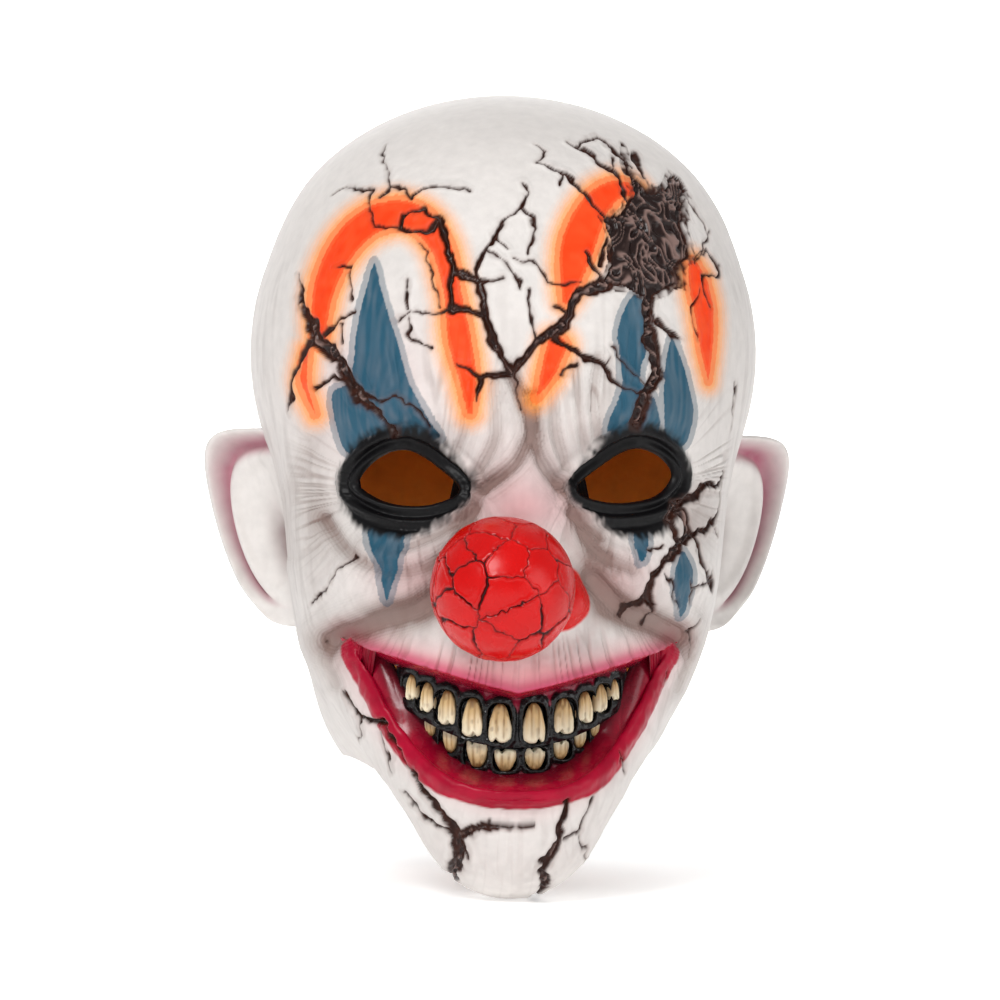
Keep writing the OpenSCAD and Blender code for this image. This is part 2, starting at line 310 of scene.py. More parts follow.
EYE_LEFT_OF_VIEW = [(-21, 10.5), (-28, 18), (-39, 24), (-49, 21), (-56, 13), (-50, 8), (-41, 5.5), (-30, 6)]
EYE_RIGHT_OF_VIEW = [(21, 11.5), (29, 19), (40, 25.5), (50, 23.5), (56, 17), (50, 10), (39, 7.5), (29, 8)]
RIM_LEFT_OF_VIEW = [
    (-15, 12), (-22, 21), (-31, 30), (-44, 32), (-56, 27),
    (-62, 15), (-60, 3), (-51, -4), (-38, -5), (-25, 1),
]
RIM_RIGHT_OF_VIEW = [
    (18, 13), (24, 22), (32, 31), (45, 34), (57, 29),
    (62, 18), (59, 5), (51, -3), (38, -4), (27, 2),
]

# Orange strokes: (x, z, half width)
ORANGE = [
    [(-70, 63, 3), (-69, 79, 4.5), (-64, 93, 5.5), (-55, 104, 6), (-44, 108, 6), (-35, 105, 5.5),
     (-28, 95, 4.5), (-24, 78, 4), (-22, 64, 5), (-19, 50, 4), (-18, 38, 2)],
    [(-74, 60, 1.5), (-75, 49, 2), (-71, 37, 1)],
    [(15, 77, 2), (17, 86, 5), (20, 98, 7), (26, 111, 6), (34, 118, 4.5), (42, 118, 3)],
    [(12, 61, 4.5), (9, 52, 3.5), (5, 43, 1)],
    [(63, 92, 3), (65, 85, 5), (67, 75, 5), (68, 62, 3.5), (69, 51, 1)],
]
# Teal patches: closed outlines
TEAL = [
    [(-51, 92), (-47, 78), (-42, 62), (-38, 48), (-32, 37), (-27, 28), (-41, 29),
     (-52, 28), (-60, 22), (-65, 34), (-66, 45), (-60, 50), (-58, 67), (-55, 81)],
    [(39, 81), (46, 76), (46, 63), (43, 51), (48, 44), (50, 31), (30, 31), (34, 46), (34, 56), (33, 68)],
    [(54, 67), (59, 58), (62, 48), (64, 38), (60, 26), (52, 29), (50, 45), (51, 58)],
    [(-53, -3), (-39, -4), (-41, -15), (-45, -30), (-49, -19)],
    [(40, -2), (47, -2), (46, -12), (42, -14)],
    [(60, -9), (65, -18), (62, -31), (59, -34), (55, -24), (56, -14)],
]
# The torn patch of flesh on the forehead: a closed outline
FLESH = [
    (38, 136), (42, 126), (48, 120), (53, 121), (58, 129), (63, 133), (66, 126), (63, 118),
    (61, 112), (63, 102), (64, 96), (58, 91), (59, 84), (51, 80), (46, 76), (40, 81),
    (31, 82), (24, 80), (31, 92), (31, 99), (27, 108), (34, 111), (40, 117), (37, 128),
]

# Cracks: half width at the start and at the end, then the route
CRACKS = [
    # brow and forehead, left of the view
    (1.3, 1.2, [(-29, 105), (-28, 99), (-26, 92), (-24, 87), (-25, 81), (-25, 74)]),
    (1.4, 1.6, [(-24, 87), (-19, 85), (-15, 83), (-13, 77), (-14, 71), (-10, 63), (-4, 52)]),
    (1.3, 1.3, [(-25, 74), (-20, 73), (-14, 72)]),
    (0.5, 0.4, [(-25, 74), (-34, 72), (-39, 73), (-44, 69)]),
    (0.9, 0.6, [(-15, 83), (-11, 83), (-7, 84)]),
    (0.9, 0.4, [(-15, 83), (-16, 87), (-13, 95), (-9, 101), (-2, 109), (2, 116), (0, 119)]),
    (0.4, 0.4, [(-13, 95), (-6, 90), (-1, 82)]),
    (0.5, 0.3, [(-9, 101), (-5, 96)]),
    (0.4, 0.4, [(-77, 111), (-65, 118), (-51, 118), (-54, 112), (-51, 104), (-43, 103)]),
    (0.8, 0.9, [(-43, 103), (-39, 101), (-32, 101), (-30, 104)]),
    (0.4, 0.3, [(-49, 114), (-45, 118), (-40, 117), (-39, 114), (-35, 118), (-18, 116)]),
    (0.3, 0.2, [(-45, 118), (-46, 126), (-49, 131), (-47, 136)]),
    (0.6, 0.9, [(-43, 103), (-42, 108), (-35, 109), (-29, 105)]),
    (0.3, 0.3, [(-36, 97), (-33, 93), (-31, 84), (-29, 75)]),
    (0.4, 0.5, [(-64, 90), (-60, 89), (-59, 78)]),
    (0.3, 2.0, [(-78, 88), (-75, 73), (-71, 63)]),
    (2.3, 0.9, [(-71, 63), (-63, 56), (-56, 43), (-51, 38), (-43, 31)]),
    (1.3, 0.3, [(-73, 63), (-79, 49), (-82, 34)]),
    (0.7, 0.4, [(-69, 65), (-63, 70), (-58, 73)]),
    (0.3, 0.3, [(-63, 68), (-63, 61)]),
    (0.9, 0.6, [(-71, 47), (-65, 51), (-58, 48)]),
    (0.7, 0.4, [(-58, 45), (-48, 42), (-43, 43), (-37, 37), (-31, 32)]),
    (1.5, 0.3, [(-4, 52), (-14, 51), (-23, 54)]),
    (1.1, 0.3, [(-14, 50), (-15, 42)]),
    (0.5, 0.4, [(-40, 70), (-39, 64), (-31, 60)]),
    (0.4, 0.5, [(-40, 84), (-40, 74)]),
    (0.6, 0.2, [(-3, 51), (0, 38)]),
    # forehead, right of the view
    (1.3, 2.6, [(-3, 53), (5, 62), (14, 69), (21, 81), (29, 83)]),
    (1.3, 0.8, [(11, 64), (22, 59), (33, 51)]),
    (0.4, 0.4, [(33, 51), (41, 45), (45, 49)]),
    (0.6, 0.3, [(20, 56), (13, 52)]),
    (0.3, 0.3, [(28, 54), (31, 57)]),
    (0.4, 0.3, [(32, 62), (34, 58), (44, 49)]),
    (0.3, 1.1, [(6, 134), (8, 131), (6, 127), (16, 123), (25, 113), (32, 106)]),
    (0.5, 0.9, [(18, 136), (25, 132), (35, 123), (39, 114)]),
    (0.5, 0.7, [(22, 135), (29, 139), (41, 128)]),
    (0.6, 0.4, [(34, 131), (34, 126)]),
    (1.2, 0.8, [(42, 133), (46, 124)]),
    (2.8, 2.2, [(46, 82), (45, 69), (48, 59), (49, 52), (45, 47), (41, 35)]),
    (1.8, 0.4, [(49, 70), (57, 65)]),
    (0.4, 0.4, [(58, 114), (63, 116), (69, 108), (70, 102), (64, 95)]),
    (0.3, 0.3, [(70, 103), (73, 106)]),
    (0.5, 0.5, [(64, 94), (69, 98), (75, 92), (73, 89), (67, 89)]),
    (0.5, 0.4, [(14, 123), (14, 119)]),
    (0.4, 0.6, [(0, 110), (4, 107), (5, 102), (2, 94)]),
    (0.4, 0.4, [(-3, 92), (4, 91), (8, 84), (21, 84)]),
    (0.6, 0.4, [(-3, 86), (-1, 81)]),
    (0.6, 0.5, [(2, 81), (3, 76), (3, 70), (5, 63)]),
    (0.7, 0.6, [(11, 75), (14, 73), (12, 69)]),
    (0.6, 0.7, [(22, 96), (27, 86), (26, 83)]),
    (0.7, 0.7, [(30, 100), (27, 91)]),
    (0.3, 0.3, [(67, 88), (69, 77)]),
    (0.3, 0.3, [(65, 84), (62, 71), (64, 67)]),
    # temple and cheek, right of the view
    (0.3, 0.4, [(80, 52), (81, 31), (78, 22), (77, 9), (76, 5)]),
    (0.6, 1.2, [(76, 5), (70, -2), (62, -6)]),
    (0.8, 1.8, [(78, 16), (72, 14), (62, 9), (57, 5)]),
    (1.6, 1.2, [(57, 6), (55, 1), (59, -7)]),
    (2.2, 1.4, [(60, 4), (62, -5), (53, -12), (48, -18)]),
    (1.4, 0.9, [(48, -18), (45, -26), (39, -30), (37, -34)]),
    (0.9, 0.3, [(45, -26), (48, -32), (46, -37)]),
    (0.9, 0.8, [(65, -6), (70, -15), (74, -24), (78, -22)]),
    (0.5, 0.4, [(72, -22), (64, -23), (63, -21)]),
    (0.3, 0.2, [(65, -24), (64, -28)]),
    (0.4, 0.3, [(74, -2), (80, -6)]),
    (0.3, 0.2, [(52, -18), (55, -23), (57, -30)]),
    (0.6, 0.4, [(47, -9), (51, -7)]),
    (0.3, 0.2, [(68, -35), (65, -39), (67, -50)]),
    # cheek, jaw and chin
    (0.4, 0.3, [(-57, -12), (-67, -25), (-71, -30)]),
    (0.4, 1.4, [(-59, -62), (-55, -70), (-43, -72)]),
    (0.3, 0.2, [(-54, -71), (-54, -80)]),
    (0.4, 0.2, [(-46, -76), (-42, -89)]),
    (0.4, 0.3, [(-43, -74), (-35, -88)]),
    (0.8, 1.3, [(-35, -89), (-32, -95), (-19, -109)]),
    (0.3, 1.0, [(-38, -96), (-29, -106), (-19, -109)]),
    (1.9, 0.7, [(-19, -109), (-12, -106.5), (-2, -105.5), (7, -105.5)]),
    (1.4, 2.1, [(-19, -109), (-19, -120), (-22, -130)]),
    (1.0, 0.3, [(-19, -110), (-16, -118)]),
    (0.8, 1.8, [(14, -91), (18, -98), (15, -109), (10, -121), (11, -128)]),
    (1.6, 0.5, [(11, -128), (8, -134), (3, -139)]),
    (0.5, 0.4, [(27, -96), (23, -107), (17, -110)]),
    (0.3, 0.2, [(23, -109), (28, -120)]),
    (0.4, 0.3, [(37, -80), (39, -88)]),
    (0.4, 0.2, [(55, -47), (54, -58)]),
    (0.3, 0.2, [(-66, -45), (-67, -54)]),
]

# Folds of the face: depth, half width, strength of the brown painted shade along them, then the route
FOLDS = [
    (2.1, 1.4, 0.55, [(-4, 52), (0, 43), (3, 32), (-1, 22), (-7, 16), (-12, 12)]),
    (1.9, 1.4, 0.50, [(4, 44), (5, 28), (8, 20), (14, 13)]),
    (0.9, 1.1, 0.28, [(-10, 48), (-9, 30), (-14, 18)]),
    (0.9, 1.1, 0.28, [(11, 50), (12, 32), (16, 20)]),
    (0.6, 0.9, 0.20, [(-19, 52), (-19, 34), (-22, 24)]),
    (0.6, 0.9, 0.20, [(19, 54), (20, 36), (23, 25)]),
    (0.7, 1.0, 0.25, [(27, 58), (25, 42), (27, 30)]),
    (2.6, 3.2, 0.85, [(-22, -20), (-34, -31), (-50, -37), (-64, -44)]),
    (2.6, 3.2, 0.85, [(26, -20), (37, -31), (50, -36), (61, -41)]),
    (1.3, 1.6, 0.40, [(-16, 4), (-24, -11), (-40, -18), (-57, -13), (-67, 0)]),
    (1.3, 1.6, 0.40, [(19, 4), (27, -10), (40, -16)]),
    (0.8, 1.0, 0.35, [(-13, 10), (-19, 2), (-27, -4), (-40, -10)]),
    (0.8, 1.0, 0.35, [(15, 10), (21, 2), (29, -5)]),
    (0.7, 1.6, 0.25, [(-61, -40), (-65, -50), (-62, -60)]),
    (0.7, 1.6, 0.25, [(61, -40), (65, -50), (62, -60)]),
    (0.5, 1.8, 0.12, [(-70, 30), (-80, 8), (-80, -14)]),
]

# Fans of fine lines: the point they run from, lines per radian, depth, and where they show
FANS = [
    ((-46, 10), 22, 0.40, (-72, 8), (11, 22)),
    ((47, 12), 22, 0.40, (74, 20), (10, 20)),
    ((-14, 12), 9, 0.35, (-18, -4), (9, 10)),
    ((18, 13), 9, 0.35, (20, -3), (9, 10)),
    ((-38, 14), 16, 0.30, (-40, -14), (18, 10)),
    ((38, 14), 16, 0.30, (36, -12), (14, 9)),
    ((-30, -30), 30, 0.35, (-34, 46), (22, 18)),
    ((30, -30), 30, 0.35, (26, 46), (20, 16)),
    ((0, 60), 60, 0.50, (-26, -50), (24, 9)),
    ((0, 60), 60, 0.50, (28, -48), (24, 9)),
    ((0, 40), 24, 0.20, (-70, -70), (16, 40)),
    ((0, 40), 24, 0.20, (62, -70), (16, 40)),
    ((0, 0), 40, 0.10, (0, -116), (40, 22)),
]

# Pink flushes and spots of brown painted shade: strength, middle and radii
FLUSHES = [
    (0.35, (2, 4), (22, 9)), (0.30, (-34, -20), (16, 10)), (0.22, (36, -20), (14, 10)),
    (0.40, (2, -52), (22, 7)), (0.20, (-52, 44), (20, 22)), (0.18, (0, 14), (16, 16)),
]
SHADE_SPOTS = [
    (0.35, (-20, -8), (8, 12)), (0.35, (24, -8), (8, 12)), (0.25, (-14, 14), (9, 5)),
    (0.25, (17, 14), (9, 5)), (0.50, (-36, -31), (13, 4)), (0.60, (33, -30), (10, 5)),
    (0.30, (-70, 0), (6, 22)), (0.45, (66, 2), (9, 10)),
]

WHITE = shade(228, 223, 219)
GREY_STREAK_AND_SHADE = shade(176, 168, 164)
PINK = shade(228, 130, 140)
SHADE_AND_GRIME_BROWN = shade(104, 66, 52)
ORANGE_CORE = shade(247, 62, 6)
ORANGE_HALO = shade(255, 160, 60)
TEAL_CORE = shade(38, 84, 106)
BLACK = shade(9, 8, 10)
CRIMSON = shade(166, 6, 44)
MAGENTA = shade(206, 56, 104)
NOSE_RED = shade(208, 5, 5)
CRACK_BROWN = shade(52, 23, 13)
FLESH_DARK = shade(44, 30, 28)
FLESH_HIGHLIGHT = shade(150, 122, 114)
RAW_LATEX = shade(244, 172, 78)

# ---- The skin's relief and paint ----


def crack_gap(points):
    """Distance from each point to the nearest crack's edge, negative inside the crack."""
    spots = points[:, [0, 2]] + 3.0 * drift(points, 7, 11, 23) + 1.5 * drift(points, 2.4, 16, 28)
    gap = -depth_inside(spots, np.array(FLESH, float), margin=12)[0]
    for first, last, route in CRACKS:
        line = np.column_stack([route, np.linspace(first, last, len(route))])
        gap = np.minimum(gap, line_gap(spots, line))
    gap += 0.7 * (noise(points, 3.5, 31) - 0.5) + 0.35 * (noise(points, 1.3, 37) - 0.5)
    return gap + 26 * smooth(-44, -28, points[:, 1])


def fine_lines(points, fan, seed):
    """Thin creases running out from one point of the face, where the fan shows."""
    centre, density, _, middle, radii = fan
    x, _, z = points.T
    angle = np.arctan2(x - centre[0], z - centre[1])
    away = np.hypot(x - centre[0], z - centre[1])
    spread = np.stack([angle * density, away / 22, np.full(len(x), float(seed))], axis=1)
    return ridges(noise(spread, 1, seed)) * spot_mask(x, z, middle, radii)


def mouth_side(x, z):
    """1 by the lower lip and 0 by the upper one."""
    inner = np.clip(x, -MOUTH_HALF, MOUTH_HALF)
    return smooth(2, -2, z - (lip_top(inner) + lip_bottom(inner)) / 2)


def folds_and_lines(points, facing):
    """Relief in mm and brown painted shade of the face's folds and its fans of fine lines."""
    spots = points[:, [0, 2]]
    relief = 0.35 * (fractal(points, 16, 3, 3) - 0.5) + 0.16 * (noise(points, 1.7, 5) - 0.5)
    painted_shade = np.zeros(len(points))
    for depth, width, darkness, route in FOLDS:
        gap = line_gap(spots, [(px, pz, 0) for px, pz in spline(route)], margin=16)
        relief += (0.35 * depth * hump(gap, 2.6 * width, width) - depth * hump(gap, 0, width)) * facing
        # brown painted shade in each fold: dark along its floor and fading out wide of it
        shadow = 0.8 * hump(gap, 0, 1.2 * width) + 0.5 * hump(gap, 0, 3.0 * width)
        painted_shade += darkness * shadow * facing
    for seed, fan in enumerate(FANS):
        lines = fine_lines(points, fan, 50 + seed) * smooth(-28, -52, points[:, 1])
        relief -= 1.6 * fan[2] * lines
        # painted shade along each fine line
        painted_shade += 0.75 * fan[2] * lines
    return relief, painted_shade


def lids_and_lips(points, eye_depth, mouth_depth):
    """Relief in mm of the eye rims, the lips and the nose's wing."""
    x, _, z = points.T
    low_lip = mouth_side(x, z)
    relief = 1.3 * hump(eye_depth, -1.8, 1.1) - 0.9 * hump(eye_depth, -4.0, 1.0)
    relief += 1.2 * hump(eye_depth, -6.2, 1.4) - 0.7 * hump(eye_depth, -8.8, 1.2)
    uneven = 0.5 * (noise(points, 3, 6) - 0.5)
    relief += (1.2 * hump(mouth_depth, -2.8, 2.4) + uneven) * low_lip * smooth(-9, -6, mouth_depth)
    relief += 0.7 * hump(mouth_depth, -1.4, 1.4) * (1 - low_lip)
    return relief + 1.8 * spot_mask(x, z, (16, -27), (7, 9))


def base_paint(points, mouth_depth, painted_shade, facing):
    """White, greyed down the sides as painted shade with streaks over it, pink flushes, and brown painted
    shade in the folds.
    """
    x, y, z = points.T
    low_lip = mouth_side(x, z)
    colour = np.broadcast_to(WHITE, points.shape) * (0.95 + 0.07 * fractal(points, 30, 3, 7))[:, None]
    run = noise(points, (2.2, 2.2, 38), 61) * noise(points, (6, 6, 70), 62)
    # the sides are greyed all over as painted shade, with grey streaks running down over that
    sides = smooth(48, 92, np.hypot(x, 0.6 * np.maximum(y, 0))) * smooth(150, 80, z)
    colour = cover(colour, GREY_STREAK_AND_SHADE, sides * (0.14 + 0.16 * smooth(0.10, 0.62, run)))
    colour = cover(colour, GREY_STREAK_AND_SHADE, 0.20 * facing * smooth(0.20, 0.6, run) * smooth(110, 60, z))
    flush = 0.55 * smooth(-13, -1, mouth_depth) * (0.45 + 0.45 * (1 - low_lip))
    for share, centre, radii in FLUSHES:
        flush += share * spot_mask(x, z, centre, radii)
    colour = cover(colour, PINK, np.clip(flush, 0, 0.7) * facing)
    colour = cover(colour, MAGENTA, 0.85 * smooth(-7.5, -0.6, mouth_depth) ** 1.4 * (1 - low_lip) * facing)
    # brown painted shade: the folds' and lines', and spots by the nose, the eyes' inner corners, the cheeks
    # and the temples
    cloudy = 0.6 + 0.6 * fractal(points, 9, 3, 71)
    for share, centre, radii in SHADE_SPOTS:
        painted_shade = painted_shade + share * spot_mask(x, z, centre, radii)
    return cover(colour, SHADE_AND_GRIME_BROWN, np.clip(painted_shade * cloudy, 0, 0.8) * facing), cloudy


def airbrush(points, colour, facing):
    """Orange strokes with a paler halo, and teal patches."""
    brushed = points[:, [0, 2]] + 0.4 * drift(points, 1.2, 81, 82)
    gap = np.full(len(points), 20.0)
    for stroke in ORANGE:
        gap = np.minimum(gap, line_gap(brushed, spline(stroke), margin=14))
    colour = cover(colour, ORANGE_HALO, 0.85 * smooth(8.0, -0.5, gap) ** 1.4 * facing)
    core = smooth(1.3, -1.6, gap) * (0.90 + 0.10 * noise(points, 3, 83))
    colour = cover(colour, ORANGE_CORE, core * facing)
    inside = np.full(len(points), -12.0)
    for outline in TEAL:
        inside = np.maximum(inside, depth_inside(brushed, spline(outline, closed=True), margin=12)[0])
    wash = 0.97 + 0.14 * (noise(points, (1.6, 1.6, 20), 84) - 0.5)
    return cover(colour, TEAL_CORE, np.clip(smooth(-0.7, 0.7, inside) * wash, 0, 1) * facing)


def make_up(points, colour, eye_depth, mouth_depth, facing):
    """Black round the eyes, crimson lips and the red wing of the nose, with the gloss they share."""
    x, _, z = points.T
    spots = points[:, [0, 2]]
    low_lip = mouth_side(x, z)
    black = np.full(len(points), -14.0)
    for outline in (RIM_LEFT_OF_VIEW, RIM_RIGHT_OF_VIEW):
        black = np.maximum(black, depth_inside(spots, spline(outline, closed=True))[0])
    feather = 2.4 * (noise(points, (1.3, 1.3, 5), 91) - 0.5)
    dark = np.maximum(smooth(-2.6, 1.0, black + feather), smooth(-4.5, -3.0, eye_depth)) * facing
    colour = cover(colour, BLACK, dark)
    wide = 2.1 + 3.2 * smooth(MOUTH_HALF, 40, np.abs(x)) + 1.6 * hump(np.abs(x), 30, 9)
    band = 0.7 + low_lip * wide
    lips = smooth(-band - 0.5, -band + 0.4, mouth_depth + 0.8 * (noise(points, 3, 92) - 0.5)) * facing
    colour = cover(colour, CRIMSON * (0.8 + 0.4 * noise(points, 4, 93))[:, None], lips)
    wing = smooth(1.06, 0.92, np.hypot((x - 14) / 10.5, (z + 27) / 11)) * facing
    return cover(colour, NOSE_RED, wing), 0.30 * dark + 0.55 * lips + 0.8 * wing


def skin_surface(points, eye_depth, mouth_depth):
    """Relief in mm, colour and gloss of the skin at points on the head's form."""
    x, y, z = points.T
    facing = smooth(25, -5, y)
    relief, painted_shade = folds_and_lines(points, facing)
    relief += lids_and_lips(points, eye_depth, mouth_depth) * facing
    colour, cloudy = base_paint(points, mouth_depth, painted_shade, facing)
    colour = airbrush(points, colour, facing)
    colour, gloss = make_up(points, colour, eye_depth, mouth_depth, facing)

    # cracks: sunk, dark and uneven, with flesh strands on the floor of the wide ones, their ridges paler as
    # painted highlight
    gap = crack_gap(points)
    lip_break = 1 - 0.9 * spot_mask(x, z, (15, -94), (5, 6))
    keep_out = smooth(-1.2, -3.5, eye_depth) * smooth(-1.0, -2.5, mouth_depth * lip_break)
    crack = smooth(0.30, -0.25, gap) * keep_out
    floor = smooth(0.40, -1.0, gap) * keep_out
    wide = smooth(-0.9, -1.8, gap) * keep_out
    swirl = points + 13 * drift(points, 8, 95, 96, 97)
    strands = (1 - np.abs(2 * noise(swirl, (2.4, 4, 5), 98) - 1)) ** 1.5
    relief = relief * (1 - 0.6 * crack) - 1.7 * floor + 0.28 * hump(gap, 1.1, 0.8) * keep_out
    relief += 2.2 * wide * (strands - 0.35)
    # brown grime just outside the cracks
    colour = cover(colour, SHADE_AND_GRIME_BROWN, 0.20 * smooth(1.6, 0.2, gap) * keep_out * smooth(0.35, 0.7, cloudy))
    colour = cover(colour, CRACK_BROWN * (0.55 + 0.9 * noise(points, 1.5, 99))[:, None], crack)
    # the flesh is dark, with a paler painted highlight along the strands' ridges
    flesh_with_highlights = FLESH_DARK + (FLESH_HIGHLIGHT - FLESH_DARK) * smooth(0.70, 1.0, strands)[:, None]
    colour = cover(colour, flesh_with_highlights * 0.8, wide)
    gloss = np.clip(gloss + 0.5 * crack + 0.5 * wide, 0, 1)
    return np.clip(relief, -2.0, 3.0), np.clip(colour, 0, 1), gloss


# ---- Meshes ----


def quads(ids, flip=False):
    """Faces between the rows and columns of a grid of point numbers, their fronts outwards."""
    low, high = ids[1:], ids[:-1]
    if flip:
        return np.stack([low[:, 1:], low[:, :-1], high[:, :-1], high[:, 1:]], axis=-1)
    return np.stack([low[:, :-1], low[:, 1:], high[:, 1:], high[:, :-1]], axis=-1)


def new_piece(name, points, faces, materials, paint=None, gloss=None, slots=None):
    """A smooth mesh from points in mm. A face whose last two corners are one point is a triangle."""
    faces = np.asarray(faces).reshape(-1, 4)
    real = np.ones(faces.shape, bool)
    real[:, 3] = faces[:, 3] != faces[:, 2]
    used, corners = np.unique(faces[real], return_inverse=True)
    sizes = real.sum(axis=1)
    mesh = bpy.data.meshes.new(name)
    mesh.vertices.add(len(used))
    mesh.vertices.foreach_set("co", (points[used] / 1000).astype(np.float32).ravel())
    mesh.loops.add(len(corners))
    mesh.loops.foreach_set("vertex_index", corners.astype(np.int32).ravel())
    mesh.polygons.add(len(faces))
    mesh.polygons.foreach_set("loop_start", np.concatenate([[0], np.cumsum(sizes)[:-1]]).astype(np.int32))
    mesh.polygons.foreach_set("use_smooth", np.ones(len(faces), bool))
    if slots is not None:
        mesh.polygons.foreach_set("material_index", np.asarray(slots, np.int32))
    if paint is not None:
        layer = mesh.attributes.new("paint", "FLOAT_COLOR", "POINT")
        opaque = np.column_stack([paint[used], np.ones(len(used))])
        layer.data.foreach_set("color", opaque.astype(np.float32).ravel())
    if gloss is not None:
        layer = mesh.attributes.new("gloss", "FLOAT", "POINT")
        layer.data.foreach_set("value", gloss[used].astype(np.float32))
    mesh.update(calc_edges=True)
    mesh.validate()
    piece = bpy.data.objects.new(name, mesh)
    bpy.context.scene.collection.objects.link(piece)
    for material in materials:
        mesh.materials.append(material)
    return piece


def numbered(grid, first=0):
    """Point numbers of a grid, row by row."""
    rows, cols = grid.shape[:2]
    return first + np.arange(rows * cols).reshape(rows, cols)


def round_ids(grid):
    """Point numbers of a grid whose first row is one point and whose last column is its first."""
    ids = numbered(grid)
    ids[0] = ids[0, 0]
    ids[:, -1] = ids[:, 0]
    return ids


def capped_quads(grid):
    """Faces of a round grid whose first and last rows are each one point."""
    ids = round_ids(grid)
    ids[-1] = ids[-1, 0]
    tail = np.stack([ids[-1, 1:], ids[-2, 1:], ids[-2, :-1], ids[-2, :-1]], axis=-1)
    return np.concatenate([quads(ids[:-1]).reshape(-1, 4), tail])


def closed_slab(name, front, back, materials, paint=None, gloss=None):
    """A closed piece between a front and a back grid of points, joined round their edges."""
    ids = numbered(front)
    behind = numbered(back, ids.size)
    rim = np.concatenate([ids[0, :-1], ids[:-1, -1], ids[-1, :0:-1], ids[:0:-1, 0]])
    rim_back = rim + ids.size
    edge = np.stack([rim, np.roll(rim, -1), np.roll(rim_back, -1), rim_back], axis=-1)
    faces = np.concatenate([quads(ids).reshape(-1, 4), quads(behind, flip=True).reshape(-1, 4), edge])
    points = np.concatenate([front.reshape(-1, 3), back.reshape(-1, 3)])
    return new_piece(name, points, faces, materials, paint, gloss)


# ---- Materials ----


class Nodes:
    """A material and the few kinds of node that every one here is made of."""

    def __init__(self, name):
        self.material = bpy.data.materials.new(name)
        self.material.use_nodes = True
        self.tree = self.material.node_tree
        self.shader = self.tree.nodes["Principled BSDF"]

    def add(self, kind, **settings):
        node = self.tree.nodes.new("ShaderNode" + kind)
        for key, value in settings.items():
            setattr(node, key, value)
        return node

    def link(self, source, target):
        self.tree.links.new(source, target)

    def noise(self, scale, detail=3.0, stretch=(1, 1, 1)):
        """Noise on the object's own coordinates, in bumps per metre."""
        place = self.add("TexCoord")
        mapping = self.add("Mapping")
        mapping.inputs["Scale"].default_value = stretch
        texture = self.add("TexNoise")
        texture.inputs["Scale"].default_value = scale
        texture.inputs["Detail"].default_value = detail
        self.link(place.outputs["Object"], mapping.inputs["Vector"])
        self.link(mapping.outputs["Vector"], texture.inputs["Vector"])
        return texture.outputs["Fac"]

    def spread(self, value, low, high):
        """The middle half of a noise spread from low to high."""
        node = self.add("MapRange")
        for key, number in (("From Min", 0.25), ("From Max", 0.75), ("To Min", low), ("To Max", high)):
            node.inputs[key].default_value = number
        self.link(value, node.inputs["Value"])
        return node.outputs["Result"]

    def times(self, colour, factor):
        """A colour, darkened or lightened by a factor."""
        node = self.add("VectorMath", operation="SCALE")
        self.link(colour, node.inputs[0])
        self.link(factor, node.inputs["Scale"])
        return node.outputs["Vector"]

    def bump(self, height, strength, distance):
        node = self.add("Bump")
        node.inputs["Strength"].default_value = strength
        node.inputs["Distance"].default_value = distance
        self.link(height, node.inputs["Height"])
        self.link(node.outputs["Normal"], self.shader.inputs["Normal"])


def painted(name, dull, shiny, grain, height, mottle=0.05, specular=0.2):
    """Paint laid on by point, dull where gloss is 0 and shiny where it is 1."""
    made = Nodes(name)
    made.shader.inputs["Specular IOR Level"].default_value = specular
    paint = made.add("Attribute", attribute_name="paint")
    gloss = made.add("Attribute", attribute_name="gloss")
    patches = made.spread(made.noise(grain / 6, 4), 1 - mottle, 1 + mottle)
    made.link(made.times(paint.outputs["Color"], patches), made.shader.inputs["Base Color"])
    rough = made.add("MapRange")
    rough.inputs["To Min"].default_value = dull
    rough.inputs["To Max"].default_value = shiny
    uneven = made.add("Math", operation="MULTIPLY_ADD")
    made.link(made.noise(grain / 3, 2), uneven.inputs[0])
    uneven.inputs[1].default_value = 0.16
    made.link(rough.outputs["Result"], uneven.inputs[2])
    made.link(gloss.outputs["Fac"], rough.inputs["Value"])
    made.link(uneven.outputs["Value"], made.shader.inputs["Roughness"])
    made.bump(made.noise(grain, 4), 0.5, height)
    return made.material


def plain(name, colour, rough, grain, height, mottle, stretch=(1, 1, 1)):
    """One colour, mottled and grained by noise."""
    made = Nodes(name)
    base = made.add("RGB")
    base.outputs[0].default_value = (*colour, 1)
    patches = made.spread(made.noise(grain / 5, 4, stretch), 1 - mottle, 1 + mottle)
    made.link(made.times(base.outputs[0], patches), made.shader.inputs["Base Color"])
    made.shader.inputs["Roughness"].default_value = rough
    made.bump(made.noise(grain, 4, stretch), 0.7, height)
    return made.material


def gauze_material():
    """Open woven gauze: two crossed sets of threads."""
    made = Nodes("gauze_weave")
    place = made.add("TexCoord")
    waves = []
    for direction in ("X", "Z"):
        wave = made.add("TexWave", bands_direction=direction)
        wave.inputs["Scale"].default_value = 160
        wave.inputs["Distortion"].default_value = 0.6
        made.link(place.outputs["Object"], wave.inputs["Vector"])
        waves.append(wave)
    weave = made.add("Math", operation="MAXIMUM")
    for i, wave in enumerate(waves):
        made.link(wave.outputs["Fac"], weave.inputs[i])
    ramp = made.add("ValToRGB")
    ramp.color_ramp.elements[0].color = (*shade(120, 84, 44), 1)
    ramp.color_ramp.elements[1].color = (*shade(214, 190, 150), 1)
    made.link(weave.outputs["Value"], ramp.inputs["Fac"])
    made.link(ramp.outputs["Color"], made.shader.inputs["Base Color"])
    made.shader.inputs["Roughness"].default_value = 0.9
    made.bump(weave.outputs["Value"], 0.8, 0.0004)
    return made.material


